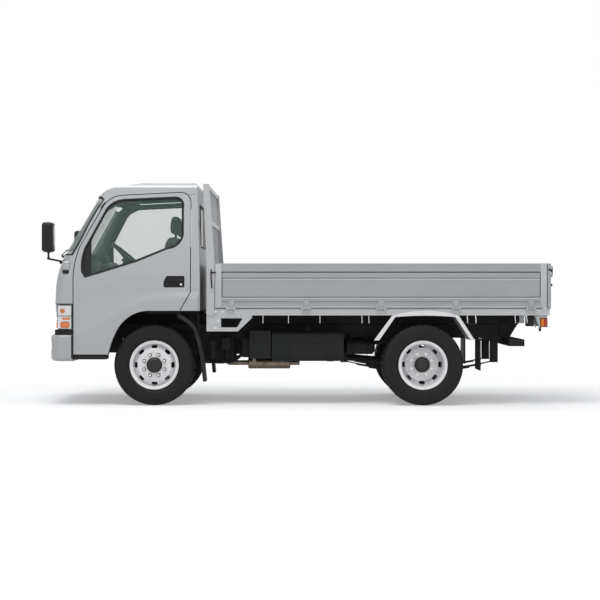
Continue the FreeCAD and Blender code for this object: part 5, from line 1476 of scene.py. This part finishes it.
@dataclass
class GateTrim(Assembly):
    """Painted shade and trim on the outside of the two side gates: dark strips of painted shade along the
    grooves and the end posts' inner edges, raised beads whose lighter finish partly paints their highlights,
    and lighter end posts.
    """

    front: float = 0.634
    rear: float = 3.582
    probe: Point = (1.20, 1.10)
    sunk: float = 0.001
    # Dark strips of painted shade where the rail and the profile's steps shade the gate: low edge, high edge
    # and lift of each.
    grooves_and_shade_strips: tuple[Point, ...] = ((1.2345, 1.2440, 0.0008), (1.006, 1.010, 0.0008), (0.966, 0.969, 0.0008))
    # Raised beads at the gate's bright lines: real relief, and their lighter trim finish partly paints the
    # highlight along each.
    highlight_beads: tuple[Point, ...] = ((1.163, 1.175, 0.003), (0.990, 1.001, 0.0025), (0.915, 0.923, 0.002))
    # A dark strip of painted shade along the inner edge of each end post: its reach from the gate's end, then
    # its heights.
    end_shade_strip: tuple[Point, Point] = ((-0.003, 0.003), (1.006, 1.244))
    end_shade_lift: float = 0.001
    post: tuple[Point, Point] = ((0.004, 0.058), (0.912, 1.316))
    post_lift: float = 0.0012
    post_edge: float = 0.0008

    def plate(self, face: float, sign: int, along: Point, heights: Point, lift: float,
              edge: float = 0.0) -> Mesh:
        """A thin plate on the gate's face.

        Args:
            face: where the gate's face is across the truck.
            sign: -1 for the left gate, 1 for the right.
            along: the stations of its ends.
            heights: the heights of its lower and upper edges.
            lift: how far it stands off the face.
            edge: the radius of its edges, or 0.

        Returns:
            The plate's mesh.
        """
        low = spot(min(along), face - self.sunk * sign, heights[0])
        return outside(block(low, spot(max(along), face + lift * sign, heights[1]), edge))

    def build(self) -> None:
        """Trims both gates."""
        whole = (self.front, self.rear)
        for sign, side in SIDES:
            gate = Surface(f"gate_{side}")
            kinds = []
            for rows in (self.grooves_and_shade_strips, self.highlight_beads):
                strips = []
                for low, high, lift in rows:
                    face = gate.side(self.probe[0], (low + high) / 2, sign).y
                    strips.append(self.plate(face, sign, whole, (low, high), lift))
                kinds.append(strips)
            dark, light = kinds
            for station, outward in ((self.front, -1), (self.rear, 1)):
                face = gate.side(station, self.probe[1], sign).y
                groove_and_shade_strip = [station + outward * reach for reach in self.end_shade_strip[0]]
                post = [station + outward * reach for reach in self.post[0]]
                dark.append(self.plate(face, sign, groove_and_shade_strip, self.end_shade_strip[1], self.end_shade_lift))
                light.append(self.plate(face, sign, post, self.post[1], self.post_lift, self.post_edge))
            # Painted shade: these dark strips stand for the shadow in the grooves and along the posts.
            self.bench.piece(f"gate_shade_strips_{side}", joined(*dark), "painted_shade", f"gate_{side}")
            # Partly painted highlight: the beads' lighter trim finish stands for the light they catch; the
            # end posts are lighter trim.
            self.bench.piece(f"gate_highlight_beads_{side}", joined(*light), "trim_silver", f"gate_{side}")


@dataclass
class BedFittings(Assembly):
    """Rope hooks, latches and bolts of the bed."""

    hooks: Point = (1.014, 1.250, 1.542, 1.931, 1.995, 2.908, 2.986, 3.352, 3.459)
    hook_line: tuple[Point, ...] = ((0.822, 0.840), (0.822, 0.788), (0.830, 0.768), (0.842, 0.766),
                                    (0.850, 0.782), (0.850, 0.806))
    hook_radius: float = 0.0050
    hook_bend: float = 0.012
    latch_lever: Pipe = Pipe(((0.535, 0.851, 1.268), (0.534, 0.858, 1.19), (0.542, 0.853, 1.09)), 0.0065,
                             10, 0.05)
    latch_arm: Box = Box((0.556, 0.850, 1.235), (0.050, 0.009, 0.014), 0.003)
    latch_pin: Rod = Rod((0.535, 0.845, 1.235), (0.535, 0.862, 1.235), 0.010, 16)
    latch_plate: Box = Box((0.538, 0.8465, 1.165), (0.034, 0.004, 0.230), 0.0015)
    tail_grip: Pipe = Pipe(((3.690, 0.846, 1.292), (3.692, 0.854, 1.25), (3.688, 0.85, 1.195)), 0.006,
                           10, 0.03)
    tail_catch: Box = Box((3.672, 0.8475, 1.262), (0.026, 0.006, 0.016), 0.002)
    knobs: tuple[Rod, ...] = (Rod((3.681, 0.812, 1.12), (3.698, 0.812, 1.12), 0.012, 16),
                              Rod((3.681, 0.812, 1.25), (3.698, 0.812, 1.25), 0.012, 16))
    bolts: tuple[Point, ...] = ((0.575, 0.87), (0.575, 0.72), (0.64, 0.87), (0.76, 0.87), (0.60, 0.79))
    bolt_ends: Point = (0.834, 0.8415)
    bolt_radius: float = 0.010

    def hook(self, station: float) -> Pipe:
        """A bent rod under the sill."""
        return Pipe([(station, y, z) for y, z in self.hook_line], self.hook_radius, 8, self.hook_bend, 3)

    def bolt(self, station: float, z: float) -> Rod:
        """A bolt's head on the headboard's foot."""
        return Rod((station, self.bolt_ends[0], z), (station, self.bolt_ends[1], z), self.bolt_radius, 6)

    def build(self) -> None:
        """Makes both sides."""
        self.both("rope_hooks", "bright_steel", *(self.hook(station) for station in self.hooks), body="bed")
        self.both("gate_latches", "cast_black", self.latch_lever, self.latch_arm, self.latch_pin, body="bed")
        self.both("latch_plates", "trim_silver", self.latch_plate, body="bed")
        self.both("tail_latches", "cast_black", self.tail_grip, self.tail_catch, body="tailgate")
        self.both("tailgate_knobs", "cast_black", *self.knobs, body="tailgate")
        self.both("bed_bolts", "bright_steel", *(self.bolt(*place) for place in self.bolts), body="bed")


@dataclass
class TailLamps(Assembly):
    """Coloured lenses on the two rear lamp cases, with the knob below each."""

    chambers: tuple[tuple[str, float, float], ...] = (
        ("amber_lens", 0.742, 0.7975), ("red_lens", 0.650, 0.739), ("lamp_lens", 0.5585, 0.647))
    ends: tuple[tuple[str, float, float], ...] = (("amber_lens", 3.592, 3.624), ("red_lens", 3.625, 3.651))
    lens_place: Point = (3.628, 0.770)
    lens_size: Point = (0.050, 0.077)
    end_place: Point = (0.8085, 0.770)
    end_size: Point = (0.010, 0.074)
    knob: Rod = Rod((3.590, 0.775, 0.735), (3.590, 0.775, 0.690), 0.014, 16, 0.8)
    end_plate: Box = Box((3.6215, 0.8025, 0.770), (0.069, 0.006, 0.084), 0.002)
    bracket: Box = Box((3.505, 0.700, 0.785), (0.060, 0.150, 0.100), 0.006)

    def build(self) -> None:
        """Makes the lenses."""
        for finish, inner, outer in self.chambers:
            place = (self.lens_place[0], (inner + outer) / 2, self.lens_place[1])
            lens = Box(place, (self.lens_size[0], outer - inner, self.lens_size[1]), 0.006, 3)
            self.both(f"rear_{finish}", finish, lens, body="bed", smooth=60.0)
        self.both("lamp_knobs", "seal_rubber", self.knob, self.end_plate, self.bracket, body="bed")
        for finish, start, end in self.ends:
            lens = Box(((start + end) / 2, *self.end_place), (end - start, *self.end_size), 0.004, 3)
            self.both(f"side_{finish}", finish, lens, body="bed", smooth=60.0)


@dataclass
class ChassisFittings(Assembly):
    """Tank filler, straps, hoses, liners over the front wheels and what hangs under the truck."""

    neck: Rod = Rod((1.431, -0.590, 0.672), (1.431, -0.655, 0.730), 0.023, 24)
    cap: Rod = Rod((1.431, -0.652, 0.727), (1.431, -0.676, 0.748), 0.031, 12, 0.95)
    ridge_place: Point = (1.436, 0.565)
    ridge_size: Point = (0.255, 0.006, 0.010)
    straps: Point = (1.258, 1.617)
    nut_rises: Point = (0.10, 0.20)
    nut_start: float = 0.004
    nut_end: float = 0.014
    nut_radius: float = 0.008
    arch_plate: Box = Box((-0.01, 0.58, 0.8865), (0.86, 0.42, 0.037))
    arch_front: Box = Box((-0.456, 0.65, 0.615), (0.012, 0.28, 0.29))
    air_tank: Rod = Rod((1.800, 0.428, 0.535), (2.050, 0.428, 0.535), 0.074, 32)
    air_tank_front: Rod = Rod((1.802, 0.428, 0.535), (1.780, 0.428, 0.535), 0.074, 32, 0.6)
    air_tank_rear: Rod = Rod((2.048, 0.428, 0.535), (2.070, 0.428, 0.535), 0.074, 32, 0.6)
    bands: Point = (1.850, 2.000)
    band_reach: float = 0.0755
    band_radius: float = 0.004
    hanger_place: Point = (0.385, 0.630)
    hanger_size: Point = (0.030, 0.075, 0.060)
    bar_cap: Box = Box((3.3725, 0.8005, 0.5825), (0.139, 0.004, 0.061), 0.002)
    ribs: int = 6
    rib_start: float = 0.445
    rib_pitch: float = 0.05
    rib_place: Point = (0.362, 0.495)
    rib_size: Point = (0.010, 0.014, 0.235)
    tray: tuple[Part, ...] = (
        Box((0.570, 0.352, 0.495), (0.300, 0.014, 0.250), 0.004),
        Rod((0.520, 0.430, 0.415), (0.520, 0.430, 0.585), 0.046, 28),
        Rod((0.520, 0.430, 0.585), (0.520, 0.430, 0.615), 0.046, 28, 0.5),
        Box((0.520, 0.385, 0.560), (0.050, 0.080, 0.040), 0.004),
        Box((0.650, 0.400, 0.565), (0.090, 0.095, 0.120), 0.010),
        Box((0.845, 0.380, 0.525), (0.090, 0.060, 0.190), 0.008),
        Rod((0.655, 0.420, 0.510), (0.655, 0.420, 0.440), 0.020, 16),
        Pipe(((0.455, 0.400, 0.400), (0.600, 0.405, 0.375), (0.760, 0.400, 0.410), (0.860, 0.390, 0.520)),
             0.013, 10, 0.05),
    )
    tank_bracket: Box = Box((1.089, -0.440, 0.560), (0.060, 0.060, 0.260), 0.006)
    brake_lines: tuple[Pipe, ...] = (
        Pipe(((-0.30, -0.330, 0.70), (-0.10, -0.362, 0.655), (1.50, -0.362, 0.655), (1.60, -0.335, 0.60)),
             0.006, 8, 0.05),
        Pipe(((-0.20, -0.330, 0.70), (0.0, -0.362, 0.668), (1.65, -0.362, 0.668), (1.75, -0.335, 0.60)),
             0.006, 8, 0.05),
    )

    def tank(self) -> None:
        """The filler neck, its cap, the ridge along the tank's side and the bolts of its straps."""
        low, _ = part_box("fuel_tank")
        ridge = Box((self.ridge_place[0], low.y, self.ridge_place[1]), self.ridge_size, 0.002)
        self.one("tank_filler", "black_plastic", self.neck, self.cap, ridge, smooth=30.0)
        nuts = []
        for station in self.straps:
            for rise in self.nut_rises:
                z = low.z + rise
                nuts.append(Rod((station, low.y - self.nut_start, z), (station, low.y - self.nut_end, z),
                                self.nut_radius, 6))
        self.one("strap_bolts", "cast_black", *nuts)

    def reservoirs(self) -> None:
        """An air tank in two bands on each side ahead of the rear wheels."""
        parts = [self.air_tank, self.air_tank_front, self.air_tank_rear]
        for station in self.bands:
            parts.append(Ring((station, *self.air_tank.start[1:]), self.band_reach, self.band_radius))
            parts.append(Box((station, *self.hanger_place), self.hanger_size, 0.004))
        self.both("air_tanks", "chassis_black", *parts, smooth=30.0)

    def undertray(self) -> None:
        """Ribbed side plates of the gearbox, an air drier, and small boxes ahead of the battery box."""
        parts = list(self.tray)
        for index in range(self.ribs):
            station = self.rib_start + self.rib_pitch * index
            parts.append(Box((station, *self.rib_place), self.rib_size, 0.003))
        shapes = [part.make(sign) for sign, _ in SIDES for part in parts]
        self.bench.piece("undertray", joined(*shapes, self.tank_bracket.make()), "cast_black", smooth=35.0)

    def build(self) -> None:
        """Makes all of it."""
        self.tank()
        self.both("arch_liners", "black_plastic", self.arch_plate, self.arch_front)
        self.reservoirs()
        self.both("bar_caps", "chassis_black", self.bar_cap)
        self.undertray()
        self.one("brake_lines", "seal_rubber", *self.brake_lines)


@dataclass
class Wheel:
    """One wheel's tyres, and what sits on its rim."""

    centre: Vector
    outward: int
    tyre_radius: float = 0.3748
    walls: tuple[tuple[float, float], ...] = (
        (0.2085, 0.070), (0.230, 0.0755), (0.2345, 0.080), (0.256, 0.088), (0.2585, 0.0905), (0.298, 0.0923),
        (0.300, 0.0905), (0.320, 0.090), (0.346, 0.085), (0.359, 0.080), (0.3685, 0.072))
    shoulder: float = 0.0660
    shoulder_drop: float = 0.0012
    grooves_and_shade_strips: tuple[Point, ...] = ((0.0430, 0.0500), (0.0110, 0.0180))
    groove_and_shade_strip: float = 0.0085
    groove_slope: float = 0.0015
    steps: int = 120
    slot_depth: float = 0.006
    shoulder_from: float = 0.362
    shoulder_band: Point = (0.056, 0.075)
    rib_from: float = 0.3735
    rib_band: Point = (0.018, 0.043)
    nuts_count: int = 8
    nut_circle: float = 0.102
    nut_radius: float = 0.0125
    nut_height: float = 0.019
    stud_height: float = 0.026
    hub_radius: float = 0.068
    cap_reach: float = 0.0315
    cap_wall: float = 0.0012
    valve_drop: float = 0.186
    valve_length: float = 0.034

    def tread_profile(self) -> list[tuple[float, float]]:
        """The tyre's section from one bead to the other, with grooves cut into the tread.

        Returns:
            The points, as radius and distance out.
        """
        radius, slope = self.tyre_radius, self.groove_slope
        side = list(self.walls) + [(radius - self.shoulder_drop, self.shoulder)]
        for low, high in self.grooves_and_shade_strips:
            deep = radius - self.groove_and_shade_strip
            side += [(radius, high), (deep, high - slope), (deep, low + slope), (radius, low)]
        return [(reach, -out) for reach, out in side] + [(reach, out) for reach, out in reversed(side)]

    def tyre(self, offset: float) -> Mesh:
        """A tyre whose shoulders and ribs are cut across by slots.

        Args:
            offset: the tyre's middle, counted outwards from the wheel's centre.

        Returns:
            The tyre's mesh.
        """
        centre = self.out(offset)
        shape = lathe(self.tread_profile(), centre, self.outward, self.steps)
        slots = []
        for face in shape.faces:
            arm = face.calc_center_median() - centre
            reach, across = math.hypot(arm.x, arm.z), abs(arm.y)
            step = int(math.atan2(arm.z, arm.x) % (2 * math.pi) / (2 * math.pi) * self.steps)
            shoulder = reach > self.shoulder_from and self.shoulder_band[0] < across < self.shoulder_band[1]
            rib = reach > self.rib_from and self.rib_band[0] < across < self.rib_band[1]
            if (shoulder and step % 3 == 0) or (rib and step % 4 == 1):
                slots.append(face)
        made = bmesh.ops.extrude_discrete_faces(shape, faces=slots)
        for face in made["faces"]:
            arm = face.calc_center_median() - centre
            arm.y = 0
            bmesh.ops.translate(shape, vec=-arm.normalized() * self.slot_depth, verts=face.verts)
        return shape

    def out(self, distance: float) -> Vector:
        """The point on the axle a distance outwards from the wheel's centre."""
        return self.centre + Vector((0, self.outward * distance, 0))

    def ring_of_bars(self, disc: float, *bars: tuple[float, float, float, int, float]) -> Mesh:
        """The same bars at each wheel nut's place.

        Args:
            disc: how far out the disc's face is.
            bars: for each bar its start and end from the disc, radius, sides and tip.

        Returns:
            The bars' mesh.
        """
        parts = []
        for index in range(self.nuts_count):
            turn = 2 * math.pi * (index + 0.5) / self.nuts_count
            arm = Vector((math.cos(turn), 0, math.sin(turn))) * self.nut_circle
            for start, end, radius, sides, tip in bars:
                foot, top = self.out(disc + start) + arm, self.out(disc + end) + arm
                parts.append(bar(foot, top, radius, sides, tip))
        return joined(*parts)

    def nuts(self, disc: float) -> Mesh:
        """Wheel nuts on their studs round the hub."""
        nut = (0.0, self.nut_height, self.nut_radius, 6, 0.94)
        return self.ring_of_bars(disc, nut, (0.0, self.stud_height, self.nut_radius * 0.52, 10, 1.0))

    def shade_rings(self, disc: float) -> Mesh:
        """Painted shade: a dark ring round the foot of each nut."""
        return self.ring_of_bars(disc, (-0.001, 0.003, self.nut_radius * 1.4, 16, 1.0))

    def cap(self, end: float) -> Mesh:
        """The dark cap over the hub, with a ridge and a domed end.

        Args:
            end: how far out the hub's end is.

        Returns:
            The cap's mesh.
        """
        radius, reach = self.hub_radius + self.cap_wall, self.cap_reach
        profile = [(radius, -0.004), (radius + 0.004, -0.004), (radius + 0.004, 0.004), (radius, 0.006),
                   (radius, reach * 0.52), (radius - 0.008, reach * 0.86), (radius - 0.017, reach + 0.0006),
                   (0.030, reach + 0.0012), (0.026, reach + 0.0006), (0.0, reach + 0.0012)]
        return lathe(profile, self.out(end), self.outward, 40)

    def valve(self, foot: float) -> Mesh:
        """A valve stem that leans out of the rim's barrel."""
        start = self.out(foot) - Vector((0, 0, self.valve_drop))
        return bar(start, start + Vector((0, self.outward * self.valve_length, 0.012)), 0.004, 10, 0.8)


@dataclass
class Wheels(Assembly):
    """All tyres, nuts, caps and valves."""

    twin_offset: float = 0.1075
    front_disc: float = 0.062
    front_hub_end: float = 0.062
    rear_hub_end: float = 0.090
    valve_foot: float = 0.020

    def dress(self, name: str, wheel: Wheel, offsets: Point, disc: float, hub_end: float) -> None:
        """Makes one wheel's pieces.

        Args:
            name: the wheel's place and side.
            wheel: its sizes.
            offsets: its tyres' middles, counted outwards.
            disc: how far out the disc's face is.
            hub_end: how far out the hub's end is.
        """
        body = f"wheel_{name}"
        tyres = joined(*(wheel.tyre(offset) for offset in offsets))
        made = self.bench.piece(f"tread_{name}", tyres, "tyre_rubber", body, "tyre_rubber", 32.0)
        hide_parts(f"tyre_{name}")
        self.bench.piece(f"hub_cap_{name}", wheel.cap(hub_end), "hub_grey", body, smooth=30.0)
        self.bench.piece(f"wheel_nuts_{name}", wheel.nuts(disc), "bright_steel", body, smooth=25.0)
        # Painted shade: dark rings round the nuts' feet.
        self.bench.piece(f"nut_shade_rings_{name}", wheel.shade_rings(disc), "painted_shade", body, smooth=25.0)
        self.bench.piece(f"valve_{name}", wheel.valve(offsets[0] + self.valve_foot), "black_plastic", body)

    def build(self) -> None:
        """Dresses the four wheels."""
        twins = (self.twin_offset, -self.twin_offset)
        for sign, side in SIDES:
            front, rear = (Wheel(middle(f"tyre_{place}_{side}"), sign) for place in ("front", "rear"))
            self.dress(f"front_{side}", front, (0.0,), self.front_disc, self.front_hub_end)
            self.dress(f"rear_{side}", rear, twins, 0.0, self.rear_hub_end)


@dataclass(frozen=True)
class Lamp:
    """A square soft light."""

    name: str
    place: Point
    target: Point
    size: float
    power: float

    def make(self) -> None:
        """Hangs the light and points it at its target."""
        data = bpy.data.lights.new(self.name, "AREA")
        data.size = self.size
        data.energy = self.power
        made = bpy.data.objects.new(self.name, data)
        made.location = self.place
        made.rotation_mode = "QUATERNION"
        made.rotation_quaternion = (Vector(self.target) - Vector(self.place)).to_track_quat("-Z", "Y")
        bpy.context.scene.collection.objects.link(made)


@dataclass
class Studio:
    """Floor, light and camera."""

    camera_distance: float = 13.5
    camera_x: float = 0.0085
    camera_height: float = 1.07
    near_side: float = -0.845
    seen_width: float = 5.556
    camera_shift: float = -0.016
    sensor: float = 36.0
    floor_colour: Colour = (0.86, 0.86, 0.86)
    floor_stretch: Point = (0.45, 1.0, 0.0)
    floor_fade: tuple[float, float] = (1.2, 3.6)
    floor_lift: float = 0.30
    floor_half: float = 60.0
    floor_drop: float = 0.002
    soft: Colour = (0.93, 0.96, 1.0)
    soft_strength: float = 0.42
    lamps: tuple[Lamp, ...] = (
        Lamp("key", (-2.0, -4.6, 8.0), (0.0, -0.3, 0.9), 4.0, 380.0),
        Lamp("fill", (4.5, -8.0, 3.0), (0.3, 0.0, 0.8), 5.0, 50.0),
        Lamp("top", (0.5, 2.0, 8.0), (0.0, 0.0, 0.0), 6.0, 85.0),
    )

    def floor_finish(self) -> bpy.types.Material:
        """A pale matt floor that fades to white with distance, for what the camera sees of it.

        Returns:
            The material.
        """
        shader = Shader("studio_floor")
        place = shader.stretched(self.floor_stretch)
        reach = shader.node("ShaderNodeVectorMath", {"operation": "LENGTH"}, {0: place})
        away = shader.between(Value(shader, reach.outputs["Value"]), *self.floor_fade)
        white = away * shader.seen_straight()
        shader.put("Base Color", shader.blend(white, self.floor_colour, BLACK))
        glow = (white * (1.0 - self.floor_lift) + self.floor_lift) * shader.seen_straight()
        shader.put("Emission Color", shader.blend(glow, BLACK, WHITE))
        shader.put("Emission Strength", 1.0)
        shader.put("Roughness", 0.9)
        shader.put("Specular IOR Level", 0.1)
        return shader.material

    def floor(self) -> None:
        """A wide floor just under the tyres."""
        shape = bmesh.new()
        bmesh.ops.create_grid(shape, x_segments=1, y_segments=1, size=self.floor_half)
        bmesh.ops.translate(shape, vec=(0, 0, -self.floor_drop), verts=shape.verts)
        mesh = bpy.data.meshes.new("floor")
        shape.to_mesh(mesh)
        shape.free()
        mesh.materials.append(self.floor_finish())
        floor = bpy.data.objects.new("floor", mesh)
        bpy.context.scene.collection.objects.link(floor)

    def sky(self) -> None:
        """A soft even world that the camera sees as white."""
        world = bpy.data.worlds.new("studio")
        bpy.context.scene.world = world
        nodes = Nodes(world)
        given = {"Color": (*self.soft, 1.0), "Strength": self.soft_strength}
        soft = nodes.node("ShaderNodeBackground", {}, given)
        white = nodes.node("ShaderNodeBackground", {}, {"Color": (*WHITE, 1.0)})
        mixed = {0: nodes.seen_straight(), 1: soft.outputs[0], 2: white.outputs[0]}
        mix = nodes.node("ShaderNodeMixShader", {}, mixed)
        nodes.node("ShaderNodeOutputWorld", {}, {"Surface": mix.outputs[0]})

    def camera(self) -> None:
        """A level camera on the truck's left, where the photograph was taken from."""
        data = bpy.data.cameras.new("camera")
        data.sensor_width = self.sensor
        data.lens = self.sensor * self.camera_distance / self.seen_width
        data.shift_y = self.camera_shift
        made = bpy.data.objects.new("camera", data)
        made.location = (self.camera_x, self.near_side - self.camera_distance, self.camera_height)
        made.rotation_euler = (math.pi / 2, 0, 0)
        bpy.context.scene.collection.objects.link(made)
        bpy.context.scene.camera = made

    def build(self) -> None:
        """Sets the stage."""
        bpy.context.scene.view_settings.view_transform = "Standard"
        self.floor()
        self.sky()
        for lamp in self.lamps:
            lamp.make()
        self.camera()
        LOG.info("stage set")


def main() -> None:
    """Builds the looks of the truck in order."""
    logging.basicConfig(level=logging.INFO, format="%(message)s")
    finishes = Finishes()
    bench = Bench(finishes)
    CadDressing(finishes).dress()
    for kind in (Skins, Seals, Headlamps, Front, MirrorFittings, DoorFittings, Cabin, Seats, GateTrim,
                 BedFittings, TailLamps, ChassisFittings, Wheels):
        kind(bench).build()
    Studio().build()


if __name__ == "__main__":
    main()
